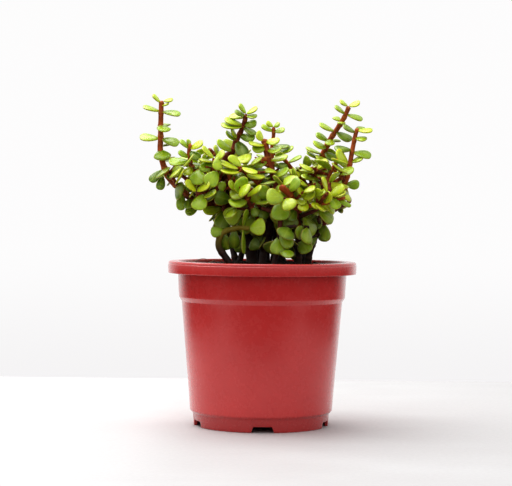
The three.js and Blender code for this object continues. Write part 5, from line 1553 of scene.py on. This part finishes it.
# A slab with a soft edge, its plaster painted a little brighter to the left as painted light and
# duller to the right as painted shade.
def tableTop():
    form, look = tableForm, tableLook
    xs, ys = (-form["side"], form["side"]), (form["front"], form["back"])
    zs = (-form["thickness"], 0)
    corners = np.array([(x, y, z) for x in xs for y in ys for z in zs]) / 1000 + potAxis
    faces = [(0, 1, 3, 2), (4, 6, 7, 5), (0, 4, 5, 1), (2, 3, 7, 6), (0, 2, 6, 4), (1, 5, 7, 3)]
    mesh = bpy.data.meshes.new("table_top")
    mesh.from_pydata(corners.tolist(), [], faces)
    table = bpy.data.objects.new("table_top", mesh)
    bpy.context.scene.collection.objects.link(table)
    bevel = table.modifiers.new("soft edge", "BEVEL")
    bevel.width, bevel.segments = form["edge"] / 1000, 4
    material, tree, shader, place = startMaterial("pale plaster table")
    cloud = noise(tree, stretched(tree, place, (0.5, 0.8, 1)), 14, 5, 0.5)
    grain = noise(tree, place, 300, 4, 0.6)
    colour = mixColour(tree, ramp(tree, cloud, 0.35, 0.7), look["dull"], look["pale"])
    across = addNode(tree, "SeparateXYZ", Vector=place).outputs[0]
    # Painted shade dulls the right of the table and painted light brightens its left.
    colour = mixColour(tree, ramp(tree, across, 0.22, 0.1, 0.6, 0), colour, look["right"])
    colour = mixColour(tree, ramp(tree, across, -0.04, -0.1, 0, 0.5), colour, look["left"])
    roughness = ramp(tree, grain, 0.3, 0.7, *look["roughness"])
    finishMaterial(tree, shader, colour, roughness, [(grain, 0.15, 0.0005)])
    mesh.materials.append(material)


# The room: white all round, but for a dark front below eye level, which the pot's gloss shows.
def roomLight():
    form = lightForm
    world = bpy.data.worlds.new("studio")
    world.use_nodes = True
    bpy.context.scene.world = world
    tree = world.node_tree
    shade = tree.nodes["Background"]
    generated = addNode(tree, "TexCoord").outputs["Generated"]
    way = addNode(tree, "SeparateXYZ", Vector=generated).outputs
    ahead = ramp(tree, way[1], 0.5, 0.9, 1, 0)
    below = ramp(tree, way[2], -0.04, 0.1, 1, 0)
    room = ramp(tree, way[1], -0.5, 0.2, form["front"], form["wall"])
    dark = reckon(tree, "MULTIPLY", ahead, below)
    light = mixColour(tree, dark, room, (form["gloom"],) * 3 + (1,))
    seen = addNode(tree, "LightPath").outputs["Is Camera Ray"]
    high = ramp(tree, way[2], -0.105, -0.02)
    paper = mixColour(tree, high, form["lowBackdrop"], form["backdrop"])
    tree.links.new(mixColour(tree, seen, light, paper), shade.inputs["Color"])


def overheadSoftbox():
    form = lampForm
    lamp = bpy.data.lights.new("overhead softbox", "AREA")
    lamp.energy, lamp.shape, lamp.size = form["power"], "DISK", form["size"]
    light = bpy.data.objects.new("overhead softbox", lamp)
    light.location = np.array(form["place"]) / 1000 + potAxis
    aim = potAxis + np.array([0, 0, form["aim"] / 1000]) - np.array(light.location)
    light.rotation_euler = Vector(aim).to_track_quat("-Z", "Y").to_euler()
    bpy.context.scene.collection.objects.link(light)


def photoCamera():
    form = cameraForm
    data = bpy.data.cameras.new("photo camera")
    data.sensor_width, data.lens, data.clip_start = 36, form["lens"], 0.01
    camera = bpy.data.objects.new("photo camera", data)
    pitch = Matrix.Rotation(math.radians(90 - form["pitch"]), 4, "X")
    roll = Matrix.Rotation(math.radians(form["roll"]), 4, "Z")
    place = Matrix.Translation(np.array(form["place"]) / 1000 + potAxis)
    camera.matrix_world = place @ pitch @ roll
    bpy.context.scene.collection.objects.link(camera)
    bpy.context.scene.camera = camera


potPiece(plasticMaterial())
print("pot turned")
soilPiece(soilMaterial())
crumbPiece(crumbMaterial())
hairPiece(hairMaterial())
print("soil filled")
bushPieces(leafMaterial(), stemMaterial())
tableTop()
roomLight()
overheadSoftbox()
photoCamera()
bpy.context.scene.view_settings.view_transform = "Standard"
bpy.context.scene.view_settings.gamma = lightForm["gamma"]
print("stage lit")
